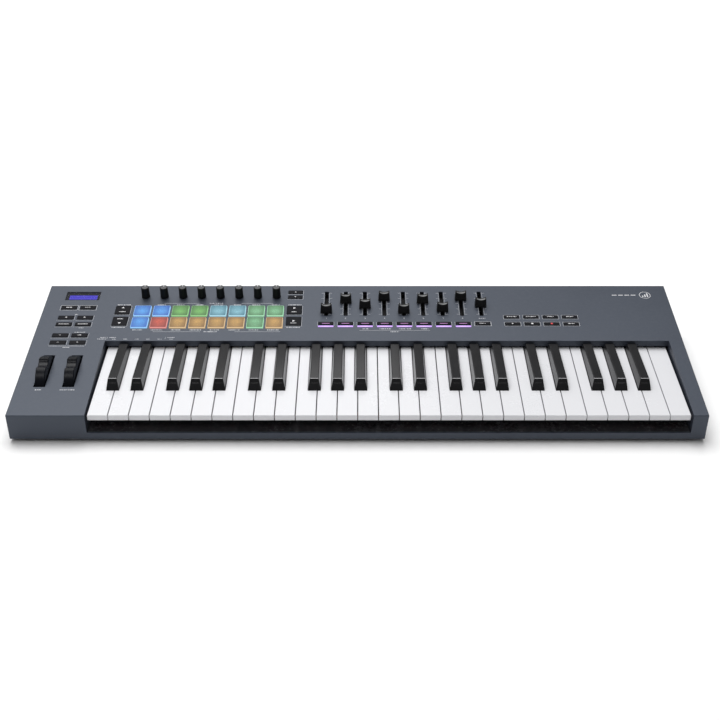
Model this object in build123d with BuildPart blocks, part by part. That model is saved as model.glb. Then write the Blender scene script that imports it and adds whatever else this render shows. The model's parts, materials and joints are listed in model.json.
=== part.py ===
from build123d import *
from math import cos, radians, sin, tan
import os

# A 49-note desktop keyboard controller. Millimetres, X along the keys, Y from the
# player to the back, Z up. The origin is on the table under the middle of the unit.

os.makedirs("parts", exist_ok=True)

# ------------------------------------------------------------ driving dimensions: housing
length = 789.0            # overall, along the keys
depth = 251.0             # overall, front to back
front_height = 36.9       # top front edge above the table
panel_tilt = 6.0          # rise of the control panel towards the back, degrees
foot_height = 4.5         # gap under the housing
wall = 2.5                # moulded wall
edge_radius = 1.2         # outer edge rounding
clearance = 0.3           # between parts that stand side by side

# ------------------------------------------------------------ driving dimensions: keys
octaves = 4
white_count = 7 * octaves + 1
white_pitch = 23.42
key_gap = 1.0
key_tilt = 2.38           # rise of the white key tops towards the back, degrees
white_front_height = 35.25
white_lip = 6.8           # height of the white key's front face
white_tail = 136.0        # white key top, front to back
white_head = 46.8         # full-width part of a white key
key_setback = 2.62        # key front behind the housing front
key_side_gap = 2.35       # between the end keys and the cheeks
key_wall = 1.6
key_edge_radius = 0.6
fork_length = 11.0        # guide fork below the white key's roof
fork_thickness = 1.5
fork_gap = 0.4            # between the fork and its guide
fork_place = 33.0         # fork behind the key front
fork_depth = 6.0
black_width = 0.598 * white_pitch
black_top_width = 0.7 * black_width
black_side_gap = 0.5
black_front = 47.5        # black key front behind the white key front
black_lean = 5.5          # how far the black key's front face leans back
black_front_height = 50.0
black_rear_height = 48.6
black_bottom = 33.0
black_rear_gap = 1.95     # black key back to the panel skirt
# shift of each black key, in white pitches, by the white key on its left
black_offsets = {0: -0.098, 1: 0.098, 3: -0.145, 4: 0.0, 5: 0.145}
key_travel = 3.3          # degrees
opening_slope = 136.2     # key opening, front edge to skirt, along the panel
right_cheek = 17.4
rail_height = 12.9        # front rail under the key opening
skirt_bottom = 43.5
pivot_setback = 179.5     # key pivot behind the housing front
pivot_height = 35.5
down_felt_rise = 2.3      # felt that stops the white keys
rod_radius = 1.5
running_gap = 0.05        # radial clearance of a turning fit
arm_width = 0.3 * white_pitch
arm_radius = 4.0          # half the height of a key arm
dome_radius = 2.8
dome_gap = 0.35

# ------------------------------------------------------------ driving dimensions: panel controls
# Places across the panel are measured from the left side, places up the panel are
# measured along the slope from the front edge.
wheel_places = (27.6, 60.85)
wheel_slope = 78.9
wheel_radius = 30.0
wheel_width = 11.5
wheel_drop = 16.0         # wheel axis below the panel
wheel_side_gap = 1.1
wheel_slot = (wheel_width + 2 * wheel_side_gap, 58.6)
wheel_reach = 95.0        # rim each side of the top, degrees
wheel_groove_radius = 10.5
wheel_groove_depth = 4.2
wheel_groove_angles = (-3.0, -5.0)
wheel_hub_radius = 6.0
axle_radius = 2.0

display_place = (45.2, 229.25)
display_size = (43.3, 18.0)

left_columns = (32.35, 55.9)
left_rows = (203.8, 182.9, 169.1, 146.8, 132.6)
left_button = (19.2, 7.2)
pad_start = 125.5
control_pitch = 23.74
pad_count = 8
pad_rows = (196.3, 172.0)
pad_size = (20.6, 21.2)
pad_rise = 1.5
nav_columns = (100.45, 315.4)
nav_rows = (198.6, 175.4)
nav_button = (18.3, 17.5)
page_rows = (237.0, 226.3)
page_button = (18.0, 6.5)
knob_slope = 227.7
knob_radius = 5.35
knob_height = 15.0
knob_taper = 1.75         # degrees
shaft_radius = 3.0
fader_start = 355.4
fader_pitch = 24.22
fader_slot = (4.9, 51.5)
fader_slope = 212.8
fader_travel = 45.0
fader_rests = (195.7, 216.5, 205.2, 221.9, 195.3, 216.1, 198.7, 222.5, 208.2)
fader_base = (14.6, 9.4)
fader_top = (13.0, 5.2)
fader_height = 12.5
fader_dip_radius = 11.0   # hollow across the top of a slider cap
fader_dip_depth = 2.2
fader_button = (18.2, 6.2)
fader_button_slope = 170.5
transport_start = 586.0
transport_pitch = 24.05
transport_rows = (184.3, 169.9)
transport_button = (18.4, 6.0)
button_rise = 0.9
button_travel = 0.7
button_corner = 0.8
pad_corner = 1.6
cap_edge_radius = 0.35
cap_flange = 0.9          # retaining flange beyond the cap
flange_thickness = 1.0
flange_drop = 1.3         # underside of the flange below the inside of the panel

# ------------------------------------------------------------ driving dimensions: inside
board_thickness = 1.6
board_drop = 10.0         # control board top below the panel
seat_height = 9.5         # where the housing bosses meet the base
floor_thickness = 2.7     # keybed floor
screw_radius = 1.5
screw_head_radius = 3.0
pilot_depth = 7.0         # screw hole in a housing boss
boss_radius = 3.6
foot_radius = 10.0
foot_insets = (44.0, 22.0)     # foot centres from the ends and from the front and back
foot_socket = 0.8         # how far a foot sits into the base
rear_screw_places = (84.0, 334.0, 572.0)   # from the left side
front_screw_place = 44.0  # keybed screws behind the key front
usb_place = 106.0         # USB socket from the left side
socket_pitches = (38.0, 36.0)  # USB to MIDI, MIDI to jack
lock_place = 60.0         # lock slot from the right side

# ------------------------------------------------------------ worked-out values
left_side = -length / 2
right_side = length / 2
front_y = -depth / 2
rear_y = depth / 2
tilt = radians(panel_tilt)
rear_height = front_height + depth * tan(tilt)
panel = Plane(
    origin=(0, front_y, front_height),
    x_dir=(1, 0, 0),
    z_dir=(0, -sin(tilt), cos(tilt)),
)
key_front_y = front_y + key_setback
key_slope = radians(key_tilt)
key_plane = Plane(
    origin=(0, key_front_y, white_front_height),
    x_dir=(1, 0, 0),
    z_dir=(0, -sin(key_slope), cos(key_slope)),
)
white_width = white_pitch - key_gap
keys_width = white_count * white_pitch - key_gap
opening_right = right_side - right_cheek
keys_left = opening_right - key_side_gap - keys_width
opening_left = keys_left - key_side_gap
opening_rear = front_y + opening_slope * cos(tilt)
semitone_pitch = 7 * white_pitch / 12
semitones = 12 * octaves + 1
cut_out = black_width + 2 * black_side_gap
black_front_y = key_front_y + black_front
black_rear_y = opening_rear - black_rear_gap
pivot_y = front_y + pivot_setback
floor_top = rail_height - clearance
floor_bottom = floor_top - floor_thickness
inner_left = left_side + wall
inner_right = right_side - wall
inner_front = front_y + wall
inner_rear = rear_y - wall
hub_bore = axle_radius + running_gap
roof_drop = wall / cos(tilt)
low_corner = (Align.MIN, Align.MIN)


def panel_z(y):
    """Height of the panel's top surface at y."""
    return front_height + (y - front_y) * tan(tilt)


def slope_of(y):
    """Distance up the panel of a point above y."""
    return (y - front_y) / cos(tilt)


def key_left(index):
    """Left edge of a white key."""
    return keys_left + index * white_pitch


def black_centre(index):
    """Middle of the black key at the right of a white key."""
    return key_left(index + 1) - key_gap / 2 + black_offsets[index % 7] * white_pitch


def arm_centre(semitone):
    """Middle of a key's arm; the arms stand evenly along the pivot rod."""
    return keys_left - key_gap / 2 + semitone_pitch * (semitone + 0.5)


def block(x0, x1, y0, y1, z0, z1):
    """A box between two corners, added to the open builder."""
    with BuildSketch(Plane.XY.offset(z0)) as base:
        with Locations(((x0 + x1) / 2, (y0 + y1) / 2)):
            Rectangle(x1 - x0, y1 - y0)
    extrude(base.sketch, amount=z1 - z0)


def finish(part, name):
    """Label a finished piece and write it."""
    part.label = name
    export_step(part, "parts/" + name + ".step")


# ------------------------------------------------------------ control places
left_places = [
    (left_side + column, row) for row in left_rows for column in left_columns
]
nav_places = [(left_side + column, row) for column in nav_columns for row in nav_rows]
page_places = [(left_side + nav_columns[1], row) for row in page_rows]
pad_columns = [left_side + pad_start + control_pitch * i for i in range(pad_count)]
fader_columns = [left_side + fader_start + fader_pitch * i for i in range(9)]
fader_button_places = [(x, fader_button_slope) for x in fader_columns]
transport_places = [
    (left_side + transport_start + transport_pitch * i, row)
    for row in transport_rows
    for i in range(4)
]
wheel_columns = [left_side + place for place in wheel_places]
display_x = left_side + display_place[0]

screw_side = wall + boss_radius + 2.6
rear_screw_y = rear_y - wall - boss_radius - 0.9
front_screw_y = front_y + wall + boss_radius + 5.0
housing_screws = [
    (left_side + screw_side, rear_screw_y),
    *[(left_side + place, rear_screw_y) for place in rear_screw_places],
    (right_side - screw_side, rear_screw_y),
    (left_side + screw_side, front_screw_y),
    (opening_left - wall - boss_radius - 2.0, front_screw_y),
    (right_side - screw_side, front_screw_y),
    (left_side + screw_side, 0.0),
    (right_side - screw_side, 0.0),
]
keybed_screw_columns = [arm_centre(s) - semitone_pitch / 2 for s in (1, 12, 24, 36, 48)]
keybed_screw_rows = (key_front_y + front_screw_place, pivot_y - 39.0)
keybed_screws = [(x, y) for x in keybed_screw_columns for y in keybed_screw_rows]

# ------------------------------------------------------------ rear sockets
main_board_height = 14.0
main_board_top = main_board_height + board_thickness
main_board_left = left_side + 58.0
main_board_size = (150.0, 44.0)
main_board_rear = inner_rear - 4.0
usb_x = left_side + usb_place
usb_shell = (12.0, 16.0, 11.0)
usb_mouth = (8.5, 7.8)
usb_tongue = (5.6, 3.2)
usb_mouth_depth = 9.0
midi_x = usb_x + socket_pitches[0]
midi_body = (20.0, 14.0, 20.0)
midi_face_radius = 7.6
midi_pin_circle = 3.75
jack_x = midi_x + socket_pitches[1]
jack_body = (14.0, 24.0, 13.0)
jack_nose_radius = 5.0
jack_bore_radius = 3.2
jack_bore_length = 22.0
socket_inset = 0.3
lock_slot = (7.2, 3.2)
lock_x = right_side - lock_place

# ------------------------------------------------------------ top_case
board_hole = clearance * 2
with BuildPart() as top_case:
    with BuildSketch(Plane.YZ):
        with BuildLine():
            Polyline(
                (front_y, foot_height),
                (rear_y, foot_height),
                (rear_y, rear_height),
                (front_y, front_height),
                close=True,
            )
        make_face()
    extrude(amount=length / 2, both=True)
    corner_edges = top_case.edges().filter_by(Axis.Z)
    roof = top_case.faces().sort_by(Axis.Z)[-1]
    fillet(corner_edges + roof.edges(), radius=edge_radius)
    with BuildSketch(Plane.YZ):
        with BuildLine():
            Polyline(
                (inner_front, foot_height - 1),
                (inner_rear, foot_height - 1),
                (inner_rear, panel_z(inner_rear) - roof_drop),
                (inner_front, panel_z(inner_front) - roof_drop),
                close=True,
            )
        make_face()
    extrude(amount=length / 2 - wall, both=True, mode=Mode.SUBTRACT)
    # cheek walls and the skirt behind the keys
    inner_walls = (
        (opening_left - wall, opening_left),
        (opening_right, opening_right + wall),
    )
    for x0, x1 in inner_walls:
        with BuildSketch(Plane.YZ.offset(x0)):
            with BuildLine():
                Polyline(
                    (inner_front - 0.5, seat_height),
                    (opening_rear + wall, seat_height),
                    (opening_rear + wall, panel_z(opening_rear + wall) - 0.5),
                    (inner_front - 0.5, panel_z(inner_front) - 0.5),
                    close=True,
                )
            make_face()
        extrude(amount=x1 - x0)
    with BuildSketch(Plane.YZ.offset(opening_left - wall)):
        with BuildLine():
            Polyline(
                (opening_rear, skirt_bottom),
                (opening_rear + wall, skirt_bottom),
                (opening_rear + wall, panel_z(opening_rear + wall) - 0.5),
                (opening_rear, panel_z(opening_rear) - 0.5),
                close=True,
            )
        make_face()
    extrude(amount=opening_right - opening_left + 2 * wall)
    with BuildSketch(Plane.XY.offset(rail_height)):
        with Locations(((opening_left + opening_right) / 2, front_y - 1)):
            Rectangle(
                opening_right - opening_left,
                opening_rear - front_y + 1,
                align=(Align.CENTER, Align.MIN),
            )
    extrude(amount=rear_height, mode=Mode.SUBTRACT)
    # bosses under the panel
    for x, y in housing_screws:
        with BuildSketch(Plane.XY.offset(seat_height)):
            with Locations((x, y)):
                Circle(boss_radius)
        extrude(amount=panel_z(y) - roof_drop + 1.0 - seat_height)
    with BuildSketch(Plane.XY.offset(seat_height)):
        with Locations(*housing_screws):
            Circle(screw_radius)
    extrude(amount=pilot_depth, mode=Mode.SUBTRACT)
    # holes for the controls, square to the panel
    with BuildSketch(panel.offset(2)):
        hole_groups = (
            (left_places, left_button),
            (nav_places, nav_button),
            (page_places, page_button),
            ([(x, row) for x in pad_columns for row in pad_rows], pad_size),
            (fader_button_places, fader_button),
            (transport_places, transport_button),
        )
        for places, size in hole_groups:
            with Locations(*places):
                Rectangle(size[0] + 2 * clearance, size[1] + 2 * clearance)
        with Locations(*[(x, wheel_slope) for x in wheel_columns]):
            Rectangle(*wheel_slot)
        with Locations((display_x, display_place[1])):
            Rectangle(*display_size)
        with Locations(*[(x, fader_slope) for x in fader_columns]):
            Rectangle(*fader_slot)
        with Locations(*[(x, knob_slope) for x in pad_columns]):
            Circle(shaft_radius + 0.6)
    extrude(amount=-(wall + 4), mode=Mode.SUBTRACT)
    # socket holes in the rear wall
    with BuildSketch(Plane.XZ.offset(-rear_y - 1)):
        with Locations((usb_x, main_board_top + usb_shell[2] / 2)):
            Rectangle(usb_shell[0] + board_hole, usb_shell[2] + board_hole)
        with Locations((midi_x, main_board_top + midi_body[2] / 2)):
            Circle(midi_face_radius + clearance)
        with Locations((jack_x, main_board_top + jack_body[2] / 2)):
            Circle(jack_nose_radius + clearance)
        with Locations((lock_x, main_board_top + midi_body[2] / 2)):
            Rectangle(*lock_slot)
    extrude(amount=wall + 2, mode=Mode.SUBTRACT)
finish(top_case.part, "top_case")

# ------------------------------------------------------------ bottom_case
base_top = foot_height + wall
screw_head_height = 1.7
screw_recess = screw_head_height + 0.4
screw_length = 9.0
screw_top = foot_height + screw_recess + screw_length
all_screws = housing_screws + keybed_screws
feet = [
    (side * (length / 2 - foot_insets[0]), end * (depth / 2 - foot_insets[1]))
    for side in (-1, 0, 1)
    for end in (-1, 1)
]
with BuildPart() as bottom_case:
    block(
        inner_left + clearance, inner_right - clearance,
        inner_front + clearance, inner_rear - clearance,
        foot_height, base_top,
    )
    with BuildSketch(Plane.XY.offset(base_top)):
        with Locations(*all_screws):
            Circle(boss_radius)
    extrude(amount=seat_height - base_top)
    rib_front = pivot_y + 30.0
    for x in (-0.1 * length, 0.05 * length, 0.16 * length, 0.38 * length):
        block(x - 1, x + 1, rib_front, inner_rear - 16.0, base_top, seat_height)
    with BuildSketch(Plane.XY.offset(base_top)):
        board_corners = [
            (main_board_left + dx, main_board_rear - dy)
            for dx in (8.0, main_board_size[0] - 8.0)
            for dy in (8.0, main_board_size[1] - 8.0)
        ]
        with Locations(*board_corners):
            Circle(3.0)
    extrude(amount=main_board_height - base_top)
    with BuildSketch(Plane.XY.offset(foot_height)):
        with Locations(*feet):
            Circle(foot_radius + 0.2)
    extrude(amount=foot_socket, mode=Mode.SUBTRACT)
    with BuildSketch(Plane.XY.offset(foot_height)):
        with Locations(*all_screws):
            Circle(screw_head_radius + 0.3)
    extrude(amount=screw_recess, mode=Mode.SUBTRACT)
    with BuildSketch(Plane.XY.offset(foot_height)):
        with Locations(*all_screws):
            Circle(screw_radius + 0.3)
    extrude(amount=seat_height, mode=Mode.SUBTRACT)
finish(bottom_case.part, "bottom_case")

# ------------------------------------------------------------ rubber_feet
with BuildPart() as rubber_feet:
    with BuildSketch(Plane.XY):
        with Locations(*feet):
            Circle(foot_radius)
    extrude(amount=foot_height + foot_socket)
    chamfer(rubber_feet.faces().group_by(Axis.Z)[0].edges(), length=0.8)
finish(rubber_feet.part, "rubber_feet")

# ------------------------------------------------------------ case_screws
with BuildPart() as case_screws:
    with BuildSketch(Plane.XY.offset(foot_height + screw_recess - screw_head_height)):
        with Locations(*all_screws):
            Circle(screw_head_radius)
    extrude(amount=screw_head_height)
    with BuildSketch(Plane.XY.offset(foot_height + screw_recess)):
        with Locations(*all_screws):
            Circle(screw_radius - 0.02)
    extrude(amount=screw_length)
    with BuildSketch(Plane.XY.offset(foot_height + screw_recess - screw_head_height)):
        with Locations(*all_screws):
            Rectangle(3.4, 0.7)
            Rectangle(0.7, 3.4)
    extrude(amount=1.0, mode=Mode.SUBTRACT)
finish(case_screws.part, "case_screws")

# ------------------------------------------------------------ keybed_chassis
felt_front_y = key_front_y + 18.9
felt_width = 10.0
ledge_height = 17.8
guide_size = (6.0, 4.0)
guide_front_y = key_front_y + fork_place - guide_size[1] / 2
guide_top = 24.2
black_guide_y = black_front_y + 12.5
black_guide_size = (7.2, 5.0)
black_guide_top = 36.0
stop_bar = (pivot_y - 32.0, pivot_y - 24.0)
arm_top = pivot_height + arm_radius
felt_thickness = 1.5
stop_bar_bottom = arm_top + 0.2 + felt_thickness
stop_bar_top = stop_bar_bottom + 2.8
rib_thickness = 3.0
rib_step = 3
chassis_rear = pivot_y + 12.0
chassis_left = opening_left + clearance
chassis_right = opening_right - clearance
contact_board_height = 22.0
contact_rows = (pivot_y - 84.0, pivot_y - 49.0)
rib_columns = [
    arm_centre(s) - semitone_pitch / 2 for s in range(0, semitones, rib_step)
] + [arm_centre(semitones - 1) + semitone_pitch / 2]
with BuildPart() as keybed_chassis:
    block(chassis_left, chassis_right, inner_front + clearance, chassis_rear,
          floor_bottom, floor_top)
    block(chassis_left, chassis_right, felt_front_y, felt_front_y + felt_width,
          floor_top, ledge_height)
    for x in rib_columns:
        with BuildSketch(Plane.YZ.offset(x - rib_thickness / 2)):
            with BuildLine():
                Polyline(
                    (stop_bar[0] - 2, floor_top),
                    (pivot_y + 6, floor_top),
                    (pivot_y + 6, arm_top),
                    (stop_bar[1] + 1, arm_top),
                    (stop_bar[1] + 1, stop_bar_top),
                    (stop_bar[0] - 2, stop_bar_top),
                    close=True,
                )
            make_face()
        extrude(amount=rib_thickness)
    block(chassis_left, chassis_right, stop_bar[0], stop_bar[1],
          stop_bar_bottom, stop_bar_top)
    with BuildSketch(Plane.XY.offset(floor_top)):
        white_centres = [key_left(i) + white_width / 2 for i in range(white_count)]
        with Locations(*[(x, guide_front_y + guide_size[1] / 2) for x in white_centres]):
            Rectangle(*guide_size)
    extrude(amount=guide_top - floor_top)
    with BuildSketch(Plane.XY.offset(floor_top)):
        black_centres = [
            black_centre(i) for i in range(white_count - 1) if i % 7 in black_offsets
        ]
        with Locations(*[(x, black_guide_y) for x in black_centres]):
            Rectangle(*black_guide_size)
    extrude(amount=black_guide_top - floor_top)
    with BuildSketch(Plane.XY.offset(floor_top)):
        with Locations(*keybed_screws):
            Circle(boss_radius)
        with Locations(*[(x, y) for x in rib_columns[1::4] for y in contact_rows]):
            Circle(2.5)
    extrude(amount=4.0)
    with BuildSketch(Plane.XY.offset(floor_top)):
        with Locations(*[(x, y) for x in rib_columns[1::4] for y in
                         (contact_rows[0] + 3, contact_rows[1] - 3)]):
            Circle(2.5)
    extrude(amount=contact_board_height - floor_top)
    with BuildSketch(Plane.XY.offset(floor_bottom - 1)):
        with Locations(*keybed_screws):
            Circle(screw_radius)
    extrude(amount=screw_top + clearance - floor_bottom + 1, mode=Mode.SUBTRACT)
    with BuildSketch(Plane.XY.offset(seat_height)):
        with Locations(*keybed_screws):
            Circle(boss_radius)
            Circle(screw_radius, mode=Mode.SUBTRACT)
    extrude(amount=floor_bottom - seat_height)
    with BuildSketch(Plane.YZ.offset(chassis_left - 1)):
        with Locations((pivot_y, pivot_height)):
            Circle(rod_radius + 0.02)
    extrude(amount=chassis_right - chassis_left + 2, mode=Mode.SUBTRACT)
finish(keybed_chassis.part, "keybed_chassis")

# ------------------------------------------------------------ key_pivot_rod
rod_left = rib_columns[0] - rib_thickness / 2
rod_length = rib_columns[-1] + rib_thickness / 2 - rod_left
with BuildPart() as key_pivot_rod:
    with BuildSketch(Plane.YZ.offset(rod_left)):
        with Locations((pivot_y, pivot_height)):
            Circle(rod_radius)
    extrude(amount=rod_length)
finish(key_pivot_rod.part, "key_pivot_rod")

# ------------------------------------------------------------ key_stop_felts
down_stop_top = ledge_height + down_felt_rise
with BuildPart() as key_stop_felts:
    block(chassis_left, chassis_right, felt_front_y + 0.5, felt_front_y + felt_width - 0.5,
          ledge_height, down_stop_top)
    for x0, x1 in zip(rib_columns[:-1], rib_columns[1:]):
        half = rib_thickness / 2 + clearance
        block(x0 + half, x1 - half, stop_bar[0], stop_bar[1],
              stop_bar_bottom - felt_thickness, stop_bar_bottom)
finish(key_stop_felts.part, "key_stop_felts")

# ------------------------------------------------------------ key_contact_board and key_contact_domes
contact_board_top = contact_board_height + board_thickness
actuator_y = pivot_y - 66.0
actuator_bottom = 33.0
dome_top = actuator_bottom - (pivot_y - actuator_y) * sin(radians(key_travel)) - dome_gap
with BuildPart() as key_contact_board:
    block(chassis_left + 2, chassis_right - 2, contact_rows[0], contact_rows[1],
          contact_board_height, contact_board_top)
finish(key_contact_board.part, "key_contact_board")

arm_columns = [arm_centre(s) for s in range(semitones)]
with BuildPart() as key_contact_domes:
    for first in range(0, semitones - 1, 12):
        group = arm_columns[first:first + 12]
        if first + 13 == semitones:
            group = arm_columns[first:]
        block(group[0] - semitone_pitch / 2 + 0.2, group[-1] + semitone_pitch / 2 - 0.2,
              actuator_y - 6, actuator_y + 6, contact_board_top, contact_board_top + 1)
        with BuildSketch(Plane.XY.offset(contact_board_top + 1)):
            with Locations(*[(x, actuator_y) for x in group]):
                Circle(dome_radius)
        extrude(amount=dome_top - contact_board_top - 1, taper=8)
finish(key_contact_domes.part, "key_contact_domes")

# ------------------------------------------------------------ key_springs
spring_top = arm_top - 2 * arm_radius - 1.6
with BuildPart() as key_springs:
    for x in arm_columns:
        with BuildSketch(Plane.YZ.offset(x - 2)):
            with BuildLine():
                Polyline(
                    (pivot_y - 10, floor_top),
                    (pivot_y + 4, floor_top),
                    (pivot_y + 4.6, floor_top + 1.2),
                    (pivot_y - 18, spring_top),
                    (pivot_y - 18.4, spring_top - 0.5),
                    (pivot_y + 2.6, floor_top + 0.5),
                    (pivot_y - 10, floor_top + 0.5),
                    close=True,
                )
            make_face()
        extrude(amount=4.0)
finish(key_springs.part, "key_springs")


# ------------------------------------------------------------ keys
def key_arm(semitone, block_top):
    """Arm, bore and contact block of one key, in the open builder."""
    x = arm_centre(semitone)
    with BuildSketch(Plane.YZ.offset(x - arm_width / 2)) as arm:
        with Locations(((black_rear_y - 14 + pivot_y) / 2, pivot_height)):
            Rectangle(pivot_y - black_rear_y + 14, 2 * arm_radius)
        with Locations((pivot_y, pivot_height)):
            Circle(arm_radius)
    extrude(arm.sketch, amount=arm_width)
    block(x - 3, x + 3, actuator_y - 4, actuator_y + 4, actuator_bottom, block_top)
    with BuildSketch(Plane.YZ.offset(x - arm_width)) as bore:
        with Locations((pivot_y, pivot_height)):
            Circle(rod_radius + running_gap)
    extrude(bore.sketch, amount=2 * arm_width, mode=Mode.SUBTRACT)


def white_key(index):
    """One white key: a tray open below, its guide fork and its arm."""
    left = key_left(index)
    right = left + white_width
    stem_left = left
    stem_right = right
    if index > 0 and (index - 1) % 7 in black_offsets:
        stem_left = black_centre(index - 1) + cut_out / 2
    if index < white_count - 1 and index % 7 in black_offsets:
        stem_right = black_centre(index) - cut_out / 2
    stem_length = white_tail - white_head + 2 * key_wall
    middle = (left + right) / 2
    semitone = 12 * (index // 7) + (0, 2, 4, 5, 7, 9, 11)[index % 7]
    with BuildPart() as key:
        with BuildSketch(key_plane):
            with Locations((left, 0)):
                Rectangle(white_width, white_head, align=low_corner)
            with Locations((stem_left, 0)):
                Rectangle(stem_right - stem_left, white_tail, align=low_corner)
        extrude(amount=-white_lip)
        top = key.faces().sort_by(Axis.Z)[-1]
        fillet(top.edges(), radius=key_edge_radius)
        with BuildSketch(key_plane.offset(-white_lip)):
            with Locations((left + key_wall, key_wall)):
                Rectangle(
                    white_width - 2 * key_wall, white_head - 2 * key_wall, align=low_corner
                )
            with Locations((stem_left + key_wall, white_head - 3 * key_wall)):
                Rectangle(
                    stem_right - stem_left - 2 * key_wall, stem_length, align=low_corner
                )
        extrude(amount=white_lip - 1.8, mode=Mode.SUBTRACT)
        with BuildSketch(key_plane.offset(-1.2)):
            fork = guide_size[0] / 2 + fork_gap + fork_thickness / 2
            with Locations((middle - fork, fork_place), (middle + fork, fork_place)):
                Rectangle(fork_thickness, fork_depth)
        extrude(amount=-fork_length)
        key_arm(semitone, arm_top - 0.5)
    return key.part


def black_key(index):
    """One black key at the right of a white key: a tapered hollow block and its arm."""
    x = black_centre(index)
    semitone = 12 * (index // 7) + {0: 1, 1: 3, 3: 6, 4: 8, 5: 10}[index % 7]
    shoulder = black_front_height - 10.0
    side = black_top_width / 2
    half = black_width / 2
    with BuildPart() as key:
        with BuildSketch(Plane.YZ.offset(x - half)):
            with BuildLine():
                Polyline(
                    (black_front_y, black_bottom),
                    (black_rear_y, black_bottom),
                    (black_rear_y, black_rear_height),
                    (black_front_y + black_lean, black_front_height),
                    (black_front_y, white_front_height + 1.5),
                    close=True,
                )
            make_face()
        extrude(amount=black_width)
        with BuildSketch(Plane.XZ.offset(-black_rear_y - 1)):
            with BuildLine():
                Polyline(
                    (x - half, black_bottom - 1),
                    (x + half, black_bottom - 1),
                    (x + half, shoulder),
                    (x + side, black_front_height + 0.5),
                    (x - side, black_front_height + 0.5),
                    (x - half, shoulder),
                    close=True,
                )
            make_face()
        extrude(amount=black_rear_y - black_front_y + 2, mode=Mode.INTERSECT)
        roof_edges = key.faces().sort_by(Axis.Z)[-1].edges()
        fillet(roof_edges, radius=0.9)
        with BuildSketch(Plane.XY.offset(black_bottom)):
            with Locations((x, (black_front_y + 3.5 + black_rear_y - 3) / 2)):
                Rectangle(8.0, black_rear_y - black_front_y - 6.5)
        ceiling = black_rear_height - 3.5
        extrude(amount=ceiling - black_bottom, mode=Mode.SUBTRACT)
        key_arm(semitone, ceiling + 0.5)
    return key.part


def key_group(name, solids):
    """Write the keys that one moulded group of the keybed holds."""
    group = Compound(children=solids)
    finish(group, name)


for octave in range(octaves):
    first = 7 * octave
    outer = [white_key(first + step) for step in (0, 2, 4, 6)]
    inner = [white_key(first + step) for step in (1, 3, 5)]
    sharps = [black_key(first + step) for step in black_offsets]
    number = str(octave + 1)
    key_group("white_keys_cegb_" + number, outer)
    key_group("white_keys_dfa_" + number, inner)
    key_group("black_keys_" + number, sharps)
key_group("white_key_top_c", [white_key(white_count - 1)])


# ------------------------------------------------------------ wheels
def wheel_plane(x):
    """Plane of a wheel: up the slope, then square to the panel, about its axis."""
    centre = panel.from_local_coords((x, wheel_slope, -wheel_drop))
    return Plane(origin=centre, x_dir=panel.y_dir, z_dir=(1, 0, 0))


trim = -wheel_radius * cos(radians(wheel_reach))
groove_centre = wheel_radius + wheel_groove_radius - wheel_groove_depth
for x, name, angle in zip(wheel_columns, ("pitch_wheel", "mod_wheel"), wheel_groove_angles):
    with BuildPart() as wheel:
        with BuildSketch(wheel_plane(x)):
            Circle(wheel_radius)
            with Locations((0, -trim)):
                Rectangle(2.2 * wheel_radius, wheel_radius * 1.2,
                          align=(Align.CENTER, Align.MAX), mode=Mode.SUBTRACT)
            Circle(wheel_hub_radius)
            turn = radians(angle)
            with Locations((groove_centre * sin(turn), groove_centre * cos(turn))):
                Circle(wheel_groove_radius, mode=Mode.SUBTRACT)
            Circle(hub_bore, mode=Mode.SUBTRACT)
        extrude(amount=wheel_width / 2, both=True)
        rims = wheel.edges().filter_by(GeomType.CIRCLE)
        outer_rims = rims.filter_by(lambda edge: edge.radius > wheel_hub_radius + 1)
        fillet(outer_rims, radius=0.9)
    finish(wheel.part, name)

plate = 2.0
plate_gap = wheel_width / 2 + 1.8
plate_slopes = (wheel_slope - 35.0, wheel_slope + 35.0)
axle_left = wheel_columns[0] - plate_gap - plate - 1
axle_right = wheel_columns[1] + plate_gap + plate + 1
with BuildPart() as wheel_bracket:
    for x in wheel_columns:
        for x0 in (x - plate_gap - plate, x + plate_gap):
            with BuildSketch(wheel_plane(x0)):
                with Locations((0, wheel_drop - wall)):
                    Rectangle(plate_slopes[1] - plate_slopes[0], wheel_drop - wall + 6,
                              align=(Align.CENTER, Align.MAX))
                Circle(axle_radius + 0.02, mode=Mode.SUBTRACT)
            extrude(amount=plate)
    for q in (plate_slopes[0] + 1, plate_slopes[1] - 1):
        with BuildSketch(panel.offset(-wall)):
            with Locations(((axle_left + axle_right) / 2, q)):
                Rectangle(axle_right - axle_left - 2, 2.0)
        extrude(amount=-8.0)
    with BuildSketch(wheel_plane(axle_left)):
        Circle(axle_radius)
    extrude(amount=axle_right - axle_left, mode=Mode.ADD)
finish(wheel_bracket.part, "wheel_bracket")

spring_left = wheel_columns[0] + plate_gap + plate + 2.0
spring_wire = 0.5
spring_radius = 4.2
spring_pitch = 1.6
spring_turns = 5
with BuildPart() as pitch_wheel_spring:
    with BuildLine() as coil:
        Helix(
            spring_pitch,
            spring_pitch * spring_turns,
            spring_radius,
            center=wheel_plane(spring_left).origin,
            direction=(1, 0, 0),
        )
    with BuildSketch(Plane(origin=coil.line @ 0, z_dir=coil.line % 0)):
        Circle(spring_wire)
    sweep()
finish(pitch_wheel_spring.part, "pitch_wheel_spring")

# ------------------------------------------------------------ display
with BuildPart() as display_window:
    with BuildSketch(panel.offset(-0.2)):
        with Locations((display_x, display_place[1])):
            Rectangle(display_size[0] - 0.2, display_size[1] - 0.2)
    extrude(amount=-1.4)
finish(display_window.part, "display_window")

with BuildPart() as display_module:
    with BuildSketch(panel.offset(-wall - 0.1)):
        with Locations((display_x, display_place[1])):
            Rectangle(52.0, 23.0)
    extrude(amount=-(board_drop - wall - 0.1))
finish(display_module.part, "display_module")

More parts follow.
